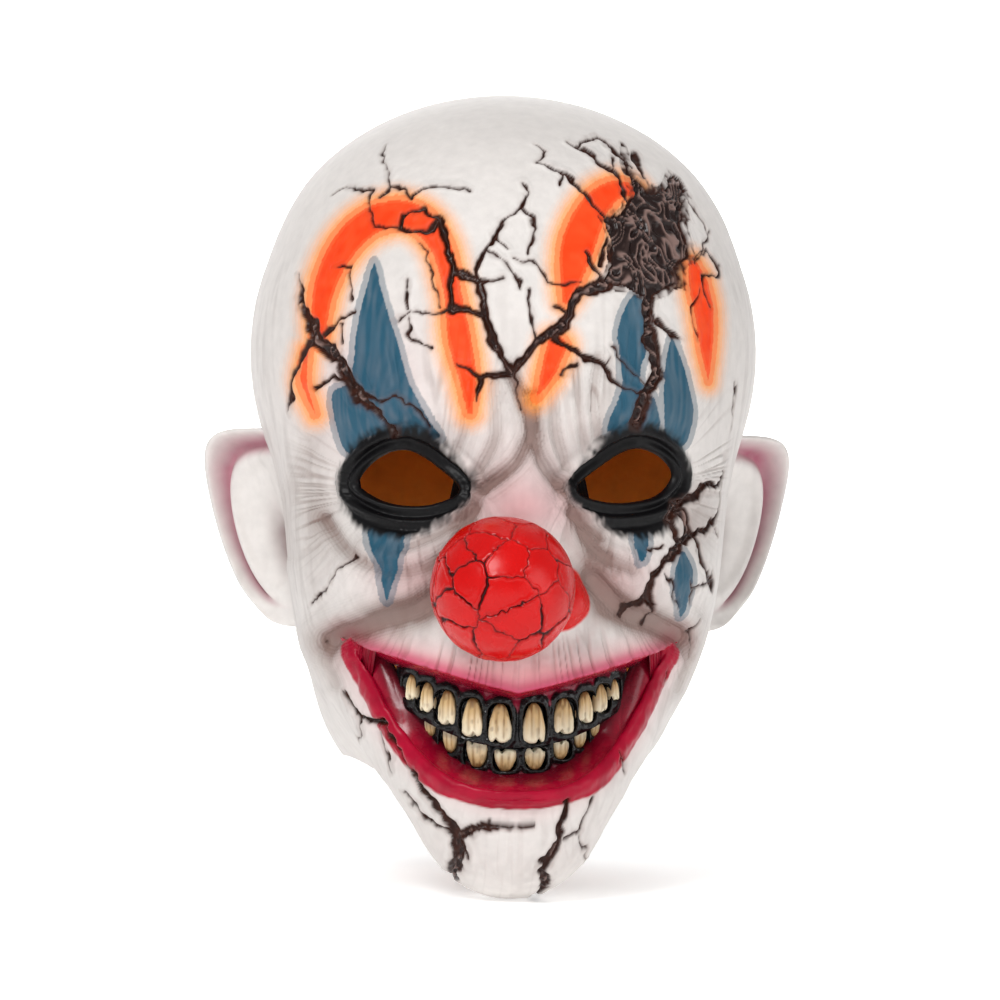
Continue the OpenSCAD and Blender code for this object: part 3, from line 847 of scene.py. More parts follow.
SKIN_PAINT = painted("skin_paint", 0.42, 0.12, 1400, 0.00006)
MOUTH_PAINT = painted("mouth_paint", 0.38, 0.10, 700, 0.00012, 0.12, 0.4)
TOOTH_PAINT = painted("tooth_enamel", 0.34, 0.16, 900, 0.00008, 0.10, 0.3)
NOSE_PAINT = painted("nose_lacquer", 0.30, 0.08, 500, 0.00008, 0.05, 0.3)
INNER_LATEX = plain("raw_latex", RAW_LATEX, 0.55, 300, 0.0004, 0.18)
FOAM = plain("fitting_foam", shade(92, 92, 96), 0.92, 1500, 0.0006, 0.25)
GAUZE = gauze_material()

# ---- The skin ----


def column_azimuths():
    """Column angles right round the head, close together over the face and wider behind."""
    fine = np.linspace(0, 180, 1801)
    step = np.interp(fine, [0, 60, 125, 180], [0.22, 0.22, 0.9, 1.0]) * COARSE
    count = np.concatenate([[0], np.cumsum(0.1 / step[:-1])])
    half = np.interp(np.linspace(0, count[-1], round(count[-1]) + 1), count, fine)
    return np.concatenate([-half[:0:-1], half])


def grid_normals(grid):
    """Outward directions on a grid whose columns run to the viewer's right and rows downwards."""
    across = np.gradient(grid, axis=1)
    down = np.gradient(grid, axis=0)
    return unit(np.cross(down, across))


def tuck_edges(points, normals, depth, inward):
    """Rolls the skin's edge at a hole back under itself. Points past the roll lie flat behind it."""
    radius = 1.1
    turn = np.clip((depth + radius) / radius, 0, math.pi)
    past = np.maximum(depth - (math.pi - 1) * radius, 0)
    along = -radius + radius * np.sin(turn) - past
    shift = np.where(depth > -radius, along - depth, 0)[:, None]
    sideways = np.stack([inward[:, 0], np.zeros(len(inward)), inward[:, 1]], axis=1)
    flat = sideways - normals * (sideways * normals).sum(axis=1, keepdims=True)
    flat = flat / np.maximum(np.hypot(flat[:, 0], flat[:, 2]), 0.3)[:, None]
    sunk = np.where(depth > -radius, radius * (1 - np.cos(turn)), 0)[:, None]
    return points + flat * shift - normals * sunk


# How an edge of the skin turns in to its inner face: how far out along it, then how deep
EDGE_ROLL = [(0.4, 0.3), (0.6, 1.1), (0.4, 2.0), (0.0, WALL)]


def holes_at(points):
    """How far points lie inside the eyes and the mouth, and the way in from the nearest edge."""
    spots = points[:, [0, 2]]
    ahead = points[:, 1] < -20
    outlines = (EYE_LEFT_OF_VIEW, EYE_RIGHT_OF_VIEW)
    eyes = [depth_inside(spots, spline(outline, closed=True)) for outline in outlines]
    across = -MOUTH_HALF * np.cos(np.linspace(0, math.pi, 25))
    lip_line = np.concatenate([
        np.column_stack([across, lip_top(across)]),
        np.column_stack([across[-2:0:-1], lip_bottom(across[-2:0:-1])]),
    ])
    mouth = depth_inside(spots, lip_line)
    eye_depth = np.where(ahead, np.maximum(eyes[0][0], eyes[1][0]), -14)
    mouth_depth = np.where(ahead, mouth[0], -14)
    left = (eyes[0][0] > eyes[1][0])[:, None]
    nearer_eye = (eye_depth > mouth_depth)[:, None]
    inward = np.where(nearer_eye, np.where(left, eyes[0][1], eyes[1][1]), mouth[1])
    return eye_depth, mouth_depth, inward


def lattice_lines(count, step, kept):
    """Every step-th line of a grid, with the last and the kept ones among them."""
    return np.unique(np.concatenate([np.arange(0, count, step), [count - 1], kept]).astype(int))


def whole_cells(marks):
    """Which cells of a grid have all four of their corners marked."""
    return marks[1:, 1:] & marks[1:, :-1] & marks[:-1, 1:] & marks[:-1, :-1]


class SkinGrid:
    """The whole skin on one grid of directions: its form, its finished outer face and its paint."""

    def __init__(self):
        self.azimuths = column_azimuths()
        t = np.linspace(0, 1, round(680 / COARSE))[:, None]
        slit_t = (90 - SLIT_TOP) / (90 - hem(180.0))
        around = self.azimuths[None, :] * (1 - 0.0035 * smooth(slit_t, slit_t + 0.03, t))
        self.slit_row = int(np.argmax(t[:, 0] >= slit_t))
        self.base = reach(aim(around, 90 + t * (hem(around) - 90)))
        self.normals = grid_normals(self.base)
        self.normals[0] = (0, 0, 1)
        self.left_start = np.argmax(self.azimuths > PANEL_AZIMUTH)
        self.right_end = np.argmax(self.azimuths > -PANEL_AZIMUTH)

        points = self.base.reshape(-1, 3)
        ways = self.normals.reshape(-1, 3)
        eye_depth, mouth_depth, inward = holes_at(points)
        hole = np.maximum(eye_depth, mouth_depth)
        relief, colour, gloss = skin_surface(points, eye_depth, mouth_depth)
        outer = tuck_edges(points + ways * relief[:, None], ways, hole, inward)
        shape = self.base.shape[:2]
        self.outer = outer.reshape(self.base.shape)
        self.colour = colour.reshape(self.base.shape)
        self.gloss = gloss.reshape(shape)
        self.hole = hole.reshape(shape)
        self.solid = whole_cells(self.hole < 4.5)

    def main_cells(self):
        """Every cell but those of the rear corners, which lie below the slit's top."""
        below = np.arange(self.base.shape[0] - 1)[:, None] >= self.slit_row
        col = np.arange(self.base.shape[1] - 1)[None, :]
        return ~(below & ((col >= self.left_start) | (col < self.right_end)))


def roll_in(edge, before, normals, scale=1.0):
    """Four lines of points that turn an edge of the skin in to its inner face."""
    out = unit(edge - before)
    return [out * (t * scale) - normals * d for t, d in EDGE_ROLL]


def longer(layer):
    """A layer with its last row repeated for the hem's turned-in edge."""
    return np.concatenate([layer, np.repeat(layer[-1:], len(EDGE_ROLL), axis=0)])


def wider(layer, strip, at_start):
    """A layer with a strip of columns put before its first or after its last."""
    return np.concatenate([strip[:, ::-1], layer] if at_start else [layer, strip], axis=1)


def inner_face(skin, rows, cols, cells, step):
    """The skin's raw inner face on a coarser grid: its points, and its faces from point 0 on."""
    top = rows[0] == 0
    kept_rows = [skin.slit_row] if top else []
    kept_cols = [skin.right_end, skin.left_start] if top else []
    near_rows = lattice_lines(len(rows), step, kept_rows)
    near_cols = lattice_lines(len(cols), step, kept_cols)
    chosen = np.ix_(rows[near_rows], cols[near_cols])
    points = skin.base[chosen] - skin.normals[chosen] * WALL
    ids = numbered(points)
    if top:
        ids[0] = ids[0, 0]
    shown = whole_cells(skin.hole[chosen] < -1.6)
    shown &= cells[np.ix_(rows[near_rows[:-1]], cols[near_cols[:-1]])]
    return points.reshape(-1, 3), quads(ids, flip=True)[shown]


def skin_piece(skin, name, rows, cols, cells, inner_step, slit=None):
    """One part of the skin. Its slit, where it has one, is at the start or end of its columns."""
    window = np.ix_(rows, cols)
    cell_window = np.ix_(rows[:-1], cols[:-1])
    base = skin.base[window]
    normals = skin.normals[window]
    grid = skin.outer[window]
    hem_edge = [grid[-1] + shift for shift in roll_in(base[-1], base[-3], normals[-1])]
    grid = np.concatenate([grid, np.stack(hem_edge)])
    base = longer(base)
    normals = longer(normals)
    colour = longer(skin.colour[window])
    gloss = longer(skin.gloss[window])
    shown = skin.solid[cell_window] & cells[cell_window]
    hem_cells = cells[np.ix_([rows[-2]], cols[:-1])]
    shown = np.concatenate([shown, np.repeat(hem_cells, len(EDGE_ROLL), axis=0)])

    if slit:
        at_start = slit == "start"
        edge, before = (0, 2) if at_start else (-1, -3)
        scale = smooth(0, 12, np.arange(len(grid)) * COARSE)[:, None]
        shifts = roll_in(base[:, edge], base[:, before], normals[:, edge], scale)
        strip = np.stack([grid[:, edge] + shift for shift in shifts], axis=1)
        colour = wider(colour, np.repeat(colour[:, edge][:, None], len(shifts), axis=1), at_start)
        gloss = wider(gloss, np.repeat(gloss[:, edge][:, None], len(shifts), axis=1), at_start)
        grid = wider(grid, strip, at_start)
        shown = wider(shown, np.ones((len(grid) - 1, len(shifts)), bool), at_start)

    ids = numbered(grid)
    if rows[0] == 0:
        ids[0] = ids[0, 0]
        ids[: skin.slit_row + 1, -1] = ids[: skin.slit_row + 1, 0]
    faces = quads(ids)[shown]
    inner, inner_faces = inner_face(skin, rows, cols, cells, inner_step)
    return new_piece(
        name,
        np.concatenate([grid.reshape(-1, 3), inner]),
        np.concatenate([faces, inner_faces + ids.size]),
        [SKIN_PAINT, INNER_LATEX],
        np.concatenate([colour.reshape(-1, 3), np.broadcast_to(RAW_LATEX, inner.shape)]),
        np.concatenate([gloss.ravel(), np.zeros(len(inner))]),
        np.concatenate([np.zeros(len(faces), int), np.ones(len(inner_faces), int)]),
    )


def build_skin():
    """The skin and its two rear corners, cut from one grid so that their edges meet."""
    skin = SkinGrid()
    rows, cols = (np.arange(count) for count in skin.base.shape[:2])
    main = skin_piece(skin, "skin", rows, cols, skin.main_cells(), 4)
    low = rows[skin.slit_row:]
    cells = np.ones((len(rows) - 1, len(cols) - 1), bool)
    left = skin_piece(skin, "rear_corner_left", low, cols[skin.left_start:], cells, 2, slit="end")
    right = skin_piece(skin, "rear_corner_right", low, cols[:skin.right_end + 1], cells, 2, slit="start")
    return main, left, right


# ---- Where the teeth stand: how far forward, and how high, at each x ----


def upper_arch(x):
    """How far forward the upper teeth's faces stand."""
    return -92 + x * x / 90


def lower_arch(x):
    """How far forward the lower teeth's faces stand."""
    return -88 + x * x / 80


def upper_row(x):
    """Height of the upper teeth's middles."""
    return -71 + x * x / 115


def lower_row(x):
    """Height of the lower teeth's middles."""
    return -84 + x * x / 80


# ---- Nose ----


def turned(outline, cols):
    """Points of an outline of (radius, distance forward) turned about the ball's middle."""
    turn = np.linspace(0, 2 * math.pi, cols + 1)[None, :]
    radius = outline[:, :1]
    ahead = np.broadcast_to(-outline[:, 1:], (len(outline), cols + 1))
    return BALL_CENTRE + np.stack([radius * np.cos(turn), ahead, radius * np.sin(turn)], axis=-1)


def ball_outline(radius, seat, rows):
    """The ball's outline from its front to a seat that far behind its middle."""
    turn = np.linspace(0, math.acos(-seat / radius), rows)
    return np.column_stack([radius * np.sin(turn), radius * np.cos(turn)])


def ball_plates(ways):
    """Distance in mm from each point of the ball to the nearest crack between its plates."""
    count = 44
    step = np.arange(count) + 0.5
    tilt = np.arccos(1 - 2 * step / count)
    turn = step * math.pi * (3 - math.sqrt(5))
    seeds = np.stack([np.sin(tilt) * np.cos(turn), np.cos(tilt), np.sin(tilt) * np.sin(turn)], axis=1)
    seeds = unit(seeds + 0.55 * drift(seeds, 0.11, 201, 202, 203))
    wandering = ways + 0.13 * drift(ways, 0.22, 204, 205, 206)
    wandering += 0.06 * drift(ways, 0.07, 207, 208, 209)
    far = np.sort(np.linalg.norm(wandering[:, None, :] - seeds[None], axis=-1), axis=1)[:, :2]
    return (far[:, 1] - far[:, 0]) * BALL_RADIUS * 0.7


def build_nose():
    """The red ball: a thin shell with raised plates and dark cracks between them."""
    outline = ball_outline(BALL_RADIUS - 0.2, BALL_SEAT + BALL_SINK, round(230 / COARSE))
    grid = turned(outline, round(420 / COARSE))
    ways = unit(grid - BALL_CENTRE).reshape(-1, 3)
    width = 0.05 + 0.60 * smooth(0.35, 0.75, noise(ways, 0.45, 210)) * smooth(0.9, -0.2, ways[:, 2])
    gap = ball_plates(ways) - width
    crack = smooth(0.25, -0.15, gap)
    height = 0.18 * hump(gap, 1.0, 0.7) - 0.9 * smooth(0.35, -0.35, gap)
    height += 0.25 * (fractal(ways, 0.35, 3, 211) - 0.5)
    points = grid.reshape(-1, 3) + ways * height[:, None]
    colour = NOSE_RED * (0.86 + 0.22 * fractal(ways, 0.5, 3, 212))[:, None]
    colour = cover(colour, shade(150, 6, 8), 0.35 * smooth(1.6, 0.1, gap))
    colour = cover(colour, shade(52, 8, 8), crack)
    gloss = np.clip(0.5 - 0.4 * crack, 0, 1)
    return new_piece("ball_nose", points, quads(round_ids(grid)), [NOSE_PAINT], colour, gloss)


def build_nose_core():
    """The foam inside the ball, with a flat seat."""
    arc = ball_outline(BALL_RADIUS - 2.5, BALL_SEAT - 0.5, 40)
    seat = np.column_stack([np.linspace(arc[-1, 0], 0, 12)[1:], np.full(11, arc[-1, 1])])
    grid = turned(np.concatenate([arc, seat]), 96)
    ways = unit(grid - BALL_CENTRE)
    grid = grid - ways * (0.5 * noise(grid, 3, 220))[..., None]
    return new_piece("nose_foam_core", grid.reshape(-1, 3), capped_quads(grid), [FOAM])


# ---- Ears ----


def ear_rim(u, degrees):
    """1 at the ear's outline and less inside it, at a share u of the way from root to rim."""
    angle = np.radians(degrees)
    return np.sqrt(u ** 3.64 * np.cos(angle) ** 2 + np.sin(angle) ** 2)


def ear_sculpt(u, degrees):
    """Height of the ear's folds over its dished front: u runs from root to rim."""
    rim = ear_rim(u, degrees)
    above_lobe = smooth(-56, -34, degrees)
    folds = 2.2 * hump(rim, 0.97, 0.05) * above_lobe
    folds -= 4.2 * hump(rim, 0.85, 0.03 + 0.04 * smooth(-60, 30, degrees)) * above_lobe
    folds += 1.4 * hump(rim, 0.70, 0.08) * above_lobe
    return folds - 4.5 * hump(u, 0.34, 0.15) * hump(degrees, -8, 22)


EAR_FRONT_COLS = 80
EAR_RIM_COLS = 10
EAR_BACK_COLS = 50


def ear_grid(side, degrees):
    """The ear's front from root to rim, its rolled rim, and its back from rim to root."""
    rows = len(degrees)
    angle = np.radians(degrees)
    tips = np.abs(degrees)
    height = -4 + 1.06 * EAR_HEIGHT / 2 * np.sin(angle)
    extent = (EAR_WIDTH + 3.5) * np.cos(angle) ** 0.55 * (1 + 0.28 * np.sin(angle))
    flare = math.radians(45)
    outward = np.array([side * math.sin(flare), math.cos(flare), 0])
    facing = np.array([side * math.cos(flare), -math.sin(flare), 0])
    closing = 3.5 * smooth(66, 89, tips)

    def root(y):
        start = np.stack([np.zeros(rows), y, height], axis=1)
        return reach(np.broadcast_to(np.array([side, 0.0, 0.0]), (rows, 3)), 1.6, start, low=40, high=130)

    def leaf(u, base, lift):
        bowl = 7 * np.sin(math.pi * u)[None, :] * np.cos(angle)[:, None]
        out = extent[:, None] * u[None, :]
        return base[:, None] + outward * out[..., None] + facing * (lift - bowl)[..., None]

    u_front = np.linspace(0, 1, EAR_FRONT_COLS)
    u_back = np.linspace(1, 0, EAR_BACK_COLS)
    sculpt = ear_sculpt(u_front[None, :], degrees[:, None]) * smooth(89.5, 80, tips)[:, None]
    front = leaf(u_front, root(4 + closing), sculpt)
    back = leaf(u_back, root(11 - closing), -1.6 * np.minimum(1, 4 * u_back)[None, :])
    turn = np.linspace(0, math.pi, EAR_RIM_COLS + 2)[1:-1]
    share = ((1 - np.cos(turn)) / 2)[None, :, None]
    bulge = 1.8 * np.sin(turn) * smooth(89.5, 70, tips)[:, None]
    rim = front[:, -1:] + (back[:, :1] - front[:, -1:]) * share + outward * bulge[..., None]
    return np.concatenate([front, rim, back], axis=1)


def ear_paint(points, degrees):
    """White, with pink paint darkened as painted shade in the groove under the rim and a dark painted shade
    in the hollow, on the front only.
    """
    out = np.linspace(0, 1, EAR_FRONT_COLS)
    home = np.linspace(1, 0, EAR_BACK_COLS)
    fade = np.linspace(1, 0, EAR_RIM_COLS)
    u = np.concatenate([out, np.ones(EAR_RIM_COLS), home])
    is_front = np.concatenate([np.ones(EAR_FRONT_COLS), fade, np.zeros(EAR_BACK_COLS)])
    down = degrees[:, None]
    cloud = 0.65 + 0.5 * fractal(points, 9, 3, 230)
    width = 0.035 + 0.045 * smooth(-60, 30, down)
    groove = hump(ear_rim(u[None, :], down), 0.85, width) * smooth(-58, -36, down) * is_front
    hollow_shade = hump(u[None, :], 0.36, 0.14) * hump(down, -8, 18) * is_front
    colour = np.broadcast_to(WHITE, points.shape) * (0.95 + 0.07 * fractal(points, 25, 3, 231))[:, None]
    # pink in the groove under the rim, darkened as painted shade; the hollow's dark brownish grey is painted
    # shade
    colour = cover(colour, shade(168, 76, 104), np.clip(0.95 * groove.ravel() * cloud, 0, 0.9))
    colour = cover(colour, shade(112, 84, 84), np.clip(0.95 * hollow_shade.ravel() * cloud, 0, 0.85))
    behind = 1 - 0.6 * np.tile(is_front, len(degrees))
    return cover(colour, GREY_STREAK_AND_SHADE, 0.30 * smooth(0.45, 0.8, noise(points, (2.5, 2.5, 26), 232)) * behind)


def build_ear(side, name):
    """One ear as a closed piece, from root to rim and back."""
    degrees = np.linspace(89.5, -89.5, 120)
    grid = ear_grid(side, degrees)
    points = grid.reshape(-1, 3)
    faces = quads(numbered(grid))
    if side < 0:
        faces = faces[..., [1, 0, 3, 2]]
    return new_piece(name, points, faces, [SKIN_PAINT], ear_paint(points, degrees), np.full(len(points), 0.1))


# ---- Mouth ----


def build_lining():
    """The flesh behind the lips: a band that narrows from the lips back to the gums."""
    cols, rows = round(360 / COARSE), 44
    across = MOUTH_HALF * np.cos(np.linspace(0, math.pi, cols // 2 + 1))
    outline = np.concatenate([
        np.column_stack([across, lip_bottom(across)]),
        np.column_stack([across[::-1], lip_top(across[::-1])])[1:],
    ])[::-1]
    middle = np.array([0, -72])
    share = np.linspace(0, 1, rows)[:, None]
    spots = middle + (outline - middle)[None] * (1.03 - 0.31 * share)[..., None]
    x, z = spots[..., 0], spots[..., 1]
    start = np.stack([x, 0 * x, z], axis=-1)
    face = reach(np.broadcast_to(np.array([0.0, -1.0, 0.0]), start.shape), 2.0, start, low=20, high=130)
    arch = upper_arch(x) + (lower_arch(x) - upper_arch(x)) * smooth(-66, -82, z)
    y = face[..., 1] + (arch + TOOTH_THICK + 0.8 - face[..., 1]) * share ** 1.1
    grid = np.stack([x, y, z], axis=-1)

    flat = grid.reshape(-1, 3)
    depth = np.repeat(share[:, 0], grid.shape[1])
    lumps = (fractal(flat, 5, 3, 240) - 0.5) * smooth(0, 0.2, depth)
    flat = flat - unit(np.stack([x, 0 * x, z + 72], axis=-1)).reshape(-1, 3) * lumps[:, None]
    back = (grid + 1.2 * unit(np.stack([x, 0 * x + 8, z + 72], axis=-1))).reshape(-1, 3)
    colour = CRIMSON * (0.85 + 0.4 * noise(flat, (1.6, 8, 1.6), 241))[:, None]
    # darker crimson and then black further back into the mouth: painted shade in the recess behind the lips
    colour = cover(colour, shade(96, 6, 26), 0.8 * smooth(0.15, 0.75, depth))
    colour = cover(colour, BLACK, 0.85 * smooth(0.72, 1.0, depth))
    gloss = 0.55 + 0.3 * noise(flat, 3, 242)

    ids = numbered(grid)
    ids[:, -1] = ids[:, 0]
    behind = ids + ids.size
    faces = np.concatenate([
        quads(ids).reshape(-1, 4),
        quads(behind, flip=True).reshape(-1, 4),
        np.stack([ids[0, :-1], ids[0, 1:], behind[0, 1:], behind[0, :-1]], axis=-1),
        np.stack([ids[-1, 1:], ids[-1, :-1], behind[-1, :-1], behind[-1, 1:]], axis=-1),
    ])
    points = np.concatenate([flat, back])
    return new_piece("mouth_flesh", points, faces, [MOUTH_PAINT], np.tile(colour, (2, 1)), np.tile(gloss, 2))


# Teeth: x of the middle, width, height
UPPER_TEETH = [
    (-37, 4.6, 8.5), (-31.5, 5.6, 10), (-24.5, 7, 11.5), (-15.5, 7.6, 13), (-5.5, 8.2, 13.2),
    (7, 8, 13.6), (18, 7.8, 12), (26, 6.2, 10.5), (32, 5.2, 9.5), (37, 3.6, 7),
]
LOWER_TEETH = [
    (-30, 5, 7.2), (-23, 5.8, 8.4), (-13.5, 7.8, 9.4), (-3.2, 7.8, 7.4),
    (7.8, 7.4, 7.4), (17.5, 6.2, 6.4), (24.5, 5.2, 6.2), (30, 4, 6),
]


def teeth_gap(x, z, teeth, row):
    """Distance to the nearest tooth's outline, seen from the front."""
    best = np.full(x.shape, 20.0)
    for place, width, height in teeth:
        off = (np.abs(x - place) / (0.5 * width)) ** 3 + (np.abs(z - row(place)) / (0.5 * height)) ** 3
        best = np.minimum(best, (np.cbrt(off) - 1) * 0.5 * width)
    return best


def build_gum(name, arch, row, half, root_side, teeth):
    """A gum bar with a collar round each tooth: black by the teeth, crimson towards the roots."""
    cols, rows = round(260 / COARSE), round(90 / COARSE)
    x = np.linspace(-half, half, cols)[None, :]
    tall = np.linspace(14.5, -8.4, rows) if root_side > 0 else np.linspace(4.3, -15.5, rows)
    z = row(x) + tall[:, None]
    x = np.broadcast_to(x, z.shape)
    gap = teeth_gap(x, z, teeth, row)
    spots = np.stack([x, 0 * x, z], axis=-1)
    lumps = fractal(spots, 2.6, 3, 250) - 0.5
    rootwards = root_side * (z - row(x))
    proud = 4.0 * smooth(-0.6, 0.5, gap) - 1.2 * smooth(1.0, 2.6, gap) + 1.2 * lumps
    proud += 0.9 * smooth(1, 5, rootwards) * smooth(2, 5, gap)
    ends = smooth(1, 0.9, np.abs(x) / half)
    y = arch(x) + TOOTH_THICK + 0.3 - proud * ends
    front = np.stack([x, y, z], axis=-1)
    back = np.stack([x, arch(x) + TOOTH_THICK + 7, z], axis=-1)
    scallop = smooth(1.7, 2.3, gap + noise(spots, 2, 251) - 0.5) * smooth(3, 5.5, rootwards)
    flat = spots.reshape(-1, 3)
    colour = cover(np.broadcast_to(BLACK, z.shape + (3,)), shade(128, 14, 44), scallop)
    colour = colour * (0.75 + 0.5 * noise(flat, 2.2, 252)).reshape(z.shape)[..., None]
    paint = np.concatenate([colour.reshape(-1, 3), np.broadcast_to(BLACK, flat.shape)])
    gloss = np.full(len(paint), 0.72)
    return closed_slab(name, front, back, [MOUTH_PAINT], paint, gloss)


def tooth_form(width, height, root_side, number):
    """A tooth's points across, inwards and up from its front's middle, and where its grooves run.

    The first and last rows are its two ends. neck is 1 at the gum and -1 at the biting edge.
    """
    tall = np.cos(np.linspace(0, math.pi, 64))[:, None]
    turn = np.linspace(0, 2 * math.pi, 73)[None, :]
    neck = root_side * tall
    cap = np.where(neck > 0, (1 - np.abs(neck) ** 3) ** 0.4, (1 - np.abs(neck) ** 10) ** 0.3)
    narrow = 0.66 + 0.34 * smooth(0.9, -0.4, neck)
    across = np.sign(np.sin(turn)) * np.abs(np.sin(turn)) ** 0.75 * cap * narrow
    ahead = -np.sign(np.cos(turn)) * np.abs(np.cos(turn)) ** 0.75 * cap
    pick = lattice(np.array([[number, 3 + root_side, 7 + k] for k in range(4)]), 260)
    notch = 1.5 * hump(across, 0.9 * pick[0] - 0.45, 0.20)
    notch += 1.2 * pick[1] * hump(across, 0.8 * np.sign(pick[2] - 0.5), 0.25)
    drop = root_side * notch * smooth(-0.2, -1.0, neck) * smooth(0, 0.5, cap)
    groove = hump(across, 0.34, 0.10) + hump(across, -0.30, 0.12)
    groove = groove * smooth(0.2, -0.5, ahead) * smooth(1.0, 0.5, np.abs(neck))
    thick = 0.80 + 0.20 * smooth(0.9, 0, neck)
    local = np.stack(
        [
            across * width / 2,
            TOOTH_THICK / 2 * (1 + ahead * thick) + 0.45 * groove,
            tall * (height / 2 + 0.3) + drop,
        ],
        axis=-1,
    )
    return local, groove.ravel(), np.broadcast_to(neck, across.shape).ravel()


def build_tooth(name, tooth, arch, row, root_side, number):
    """A worn tooth: narrow at the neck, grooved, notched at the edge and stained towards the gum."""
    place_x, width, height = tooth
    local, groove, neck = tooth_form(width, height, root_side, number)
    slope = (arch(place_x + 1) - arch(place_x - 1)) / 2
    along = unit(np.array([1, slope, 0.0]))
    inwards = np.array([-along[1], along[0], 0])
    origin = np.array([place_x, arch(place_x), row(place_x)])
    grid = origin + local @ np.stack([along, inwards, [0, 0, 1]])
    flat = grid.reshape(-1, 3)
    lumps = fractal(flat, 2.0, 3, 261 + number) - 0.5
    flat = flat + unit(flat - origin - inwards * TOOTH_THICK / 2) * (0.45 * lumps)[:, None]

    streak = noise(flat, (0.8, 0.8, 7), 262)
    stained = neck + 0.5 * (streak - 0.5)
    specks = noise(flat, (1.0, 1.0, 2.6), 263 + number)
    colour = np.broadcast_to(shade(240, 230, 200), flat.shape)
    colour = cover(colour, shade(204, 164, 92), 0.75 * smooth(-0.9, 0.5, stained))
    colour = cover(colour, shade(112, 70, 28), 0.85 * smooth(0.45, 0.95, stained))
    colour = cover(colour, shade(128, 84, 36), 0.5 * np.clip(groove, 0, 1) * (0.4 + 0.8 * streak))
    colour = cover(colour, shade(92, 52, 20), 0.4 * smooth(0.62, 0.9, specks))
    return new_piece(name, flat, capped_quads(grid), [TOOTH_PAINT], colour, np.full(len(flat), 0.5))


# ---- Foam pads and the gauze patch ----


def way_grid(way, rows, cols):
    """Shares across and down a patch, and the directions it covers."""
    u, v = np.meshgrid(np.linspace(0, 1, cols), np.linspace(0, 1, rows))
    return u, v, way(u, v)


def build_pad(name, way):
    """A fitting pad cut from foam, glued to the skin's inside, with rounded edges."""
    u, v, ways = way_grid(lambda u, v: way(0.03 + 0.94 * u, 0.03 + 0.94 * v), 48, 64)
    crown = ((1 - np.abs(2 * u - 1) ** 8) * (1 - np.abs(2 * v - 1) ** 8)) ** 0.35
    front = reach(ways, WALL + 0.9)
    behind = reach(ways, WALL + 10.8)
    back = front + (behind - front) * (0.12 + 0.88 * crown)[..., None]
    back = back + unit(front) * (0.8 * (fractal(back, 9, 3, 270) - 0.5))[..., None]
    return closed_slab(name, front, back, [FOAM])


def crown_way(u, v):
    """Directions over a square at the top of the head."""
    return unit(np.stack([0.27 * (2 * u - 1), 0.1 - 0.27 * (2 * v - 1), np.ones_like(u)], axis=-1))


def build_patch():
    """A square of gauze glued inside over the slit's upper end."""
    _, _, ways = way_grid(lambda u, v: aim(171 + 18 * u, SLIT_TOP + 8 - 14.5 * v), 30, 36)
    ripple = 0.25 * (fractal(ways, 0.06, 2, 280) - 0.5)
    front = reach(ways, WALL + 2.1) + ways * ripple[..., None]
    back = front - ways * 0.6
    return closed_slab("slit_gauze", front, back, [GAUZE])


# ---- Putting it together ----


def place(piece, slot, *nodes, body="root"):
    """A piece that stands for CAD nodes and rides on a body."""
    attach(piece, body)
    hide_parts(*nodes)


def place_corner(piece, body):
    """A rear corner of the skin, standing for its flap's CAD node, with its place baked into its points."""
    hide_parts(body)
    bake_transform(piece)


def place_foam(piece, node):
    """Put a foam piece in its node."""
    place(piece, "foam", node)


def build_teeth(side, teeth, arch, row, node):
    """One row of teeth, each in its own node."""
    for number, tooth in enumerate(teeth, 1):
        piece = build_tooth(f"worn_{node}{number}", tooth, arch, row, side, number)
        place(piece, "tooth_ivory", f"{node}{number}")


def build_mask():
    """Every piece of the mask, in the node that it replaces."""
    skin, corner_left, corner_right = build_skin()
    place(skin, "latex_white", "head_skin")
    place_corner(corner_left, "flap_left")
    place_corner(corner_right, "flap_right")
    place(build_ear(1, "ear_cast_left"), "latex_white", "ear_left")
    place(build_ear(-1, "ear_cast_right"), "latex_white", "ear_right")
    place(build_nose(), "latex_red", "nose_ball")
    place_foam(build_nose_core(), "nose_core")
    place(build_lining(), "latex_crimson", "mouth_lining")
    place(build_gum("gum_upper", upper_arch, upper_row, 41.0, 1, UPPER_TEETH), "latex_black", "upper_gum")
    place(build_gum("gum_lower", lower_arch, lower_row, 34.0, -1, LOWER_TEETH), "latex_black", "lower_gum")
    build_teeth(1, UPPER_TEETH, upper_arch, upper_row, "upper_tooth_")
    build_teeth(-1, LOWER_TEETH, lower_arch, lower_row, "lower_tooth_")
    pads = {
        "forehead_pad": lambda u, v: aim(-28 + 56 * u, 54 - 18 * v),
        "crown_pad": crown_way,
        "temple_pad_left": lambda u, v: aim(78 + 28 * u, 48 - 22 * v),
        "temple_pad_right": lambda u, v: aim(-106 + 28 * u, 48 - 22 * v),
    }
    for node, way in pads.items():
        place_foam(build_pad(f"foam_{node}", way), node)
    patch = build_patch()
    place(patch, "gauze", "slit_patch")


# ---- Studio ----


def look_at(thing, target):
    """Turns a light or camera at its place towards a target."""
    thing.rotation_euler = (Vector(target) - thing.location).to_track_quat("-Z", "Y").to_euler()


def soft_light(name, where, size, power, target=(0, 0, 0)):
    """A round soft box, in metres and watts."""
    light = bpy.data.lights.new(name, "AREA")
    light.shape = "DISK"
    light.size = size
    light.energy = power
    lamp = bpy.data.objects.new(name, light)
    bpy.context.scene.collection.objects.link(lamp)
    lamp.location = where
    look_at(lamp, target)


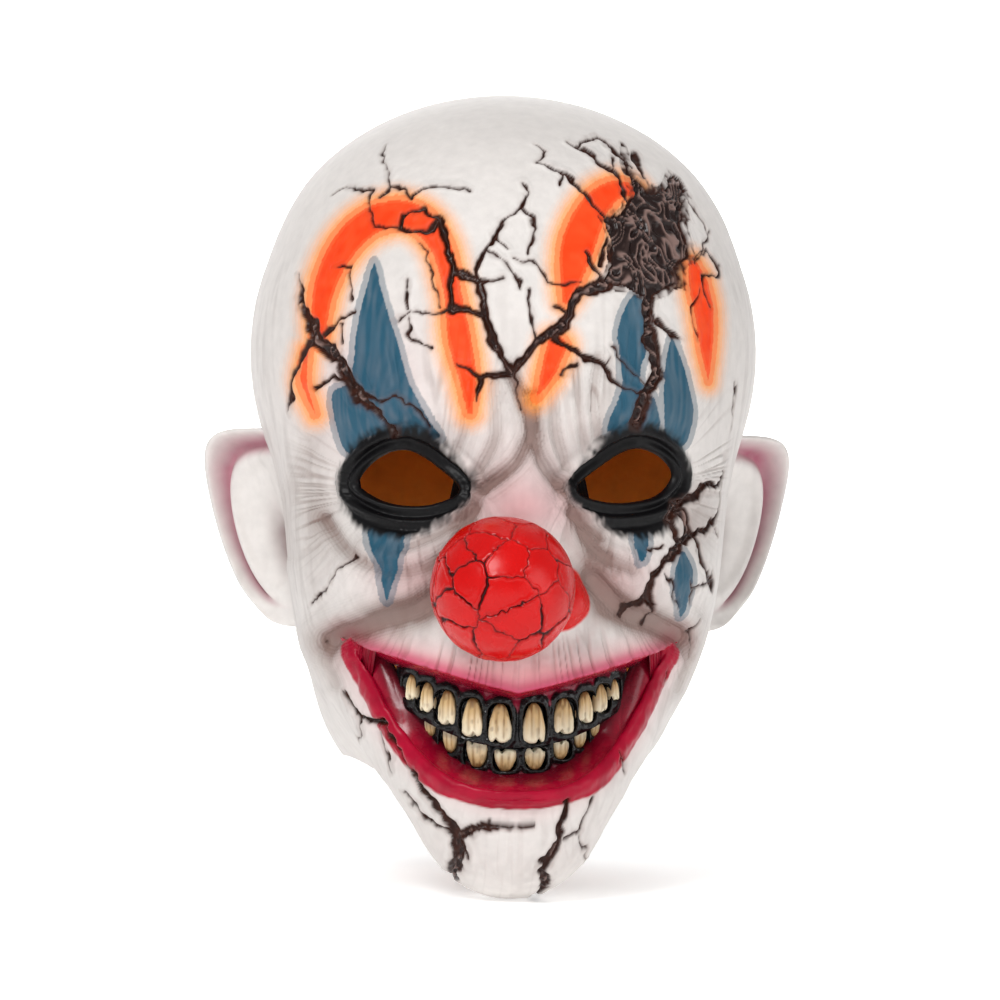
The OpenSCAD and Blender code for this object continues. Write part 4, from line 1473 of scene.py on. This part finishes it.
def build_floor():
    """A pale, faintly lit floor that curves up into a backdrop."""
    low = cad_box[0][2] - 0.0005
    bend = 1.5
    turn = np.linspace(0, math.pi / 2, 24)
    curve = np.column_stack([2.5 + bend * np.sin(turn), bend * (1 - np.cos(turn))])
    side = np.concatenate([[[-3.0, 0.0]], curve, [[4.0, 5.0]]])[::-1]
    width = np.linspace(-5, 5, 12)
    rows = np.stack([np.stack([width, 0 * width + y, 0 * width + low + z], axis=1) for y, z in side])
    made = plain("studio_floor", shade(250, 250, 250), 0.85, 40, 0.0002, 0.01)
    lit = made.node_tree.nodes["Principled BSDF"].inputs
    lit["Emission Color"].default_value = (1, 1, 1, 1)
    lit["Emission Strength"].default_value = 0.34
    floor = new_piece("studio_floor", 1000 * rows.reshape(-1, 3), quads(numbered(rows)), [made])


def build_studio():
    """Floor, lights, sky and colour handling."""
    build_floor()
    soft_light("key", (-0.55, -1.25, 0.95), 0.6, 14)
    soft_light("fill", (1.25, -0.95, 0.30), 0.9, 4.5)
    soft_light("top", (0, 0.30, 1.6), 1.0, 1.2)
    soft_light("backdrop", (0, 2.2, 2.2), 1.6, 110, target=(0, 4.6, 0.4))
    world = bpy.data.worlds.new("studio")
    world.use_nodes = True
    sky = world.node_tree.nodes["Background"].inputs
    sky["Color"].default_value = (1, 1, 1, 1)
    sky["Strength"].default_value = 0.34
    bpy.context.scene.world = world
    bpy.context.scene.view_settings.view_transform = "Standard"


def build_camera():
    """The photograph's view: eye level, 1.5 m off, a little to the viewer's left."""
    camera = bpy.data.cameras.new("view")
    camera.lens = 145
    camera.sensor_width = 36
    viewer = bpy.data.objects.new("view", camera)
    bpy.context.scene.collection.objects.link(viewer)
    target = Vector((-0.0009, 0, 0.0074))
    yaw = math.radians(-3.5)
    viewer.location = target + 1.5 * Vector((math.sin(yaw), -math.cos(yaw), 0))
    look_at(viewer, target)
    viewer.rotation_euler.rotate_axis("Z", math.radians(0.8))
    bpy.context.scene.camera = viewer


build_camera()
build_mask()
build_studio()
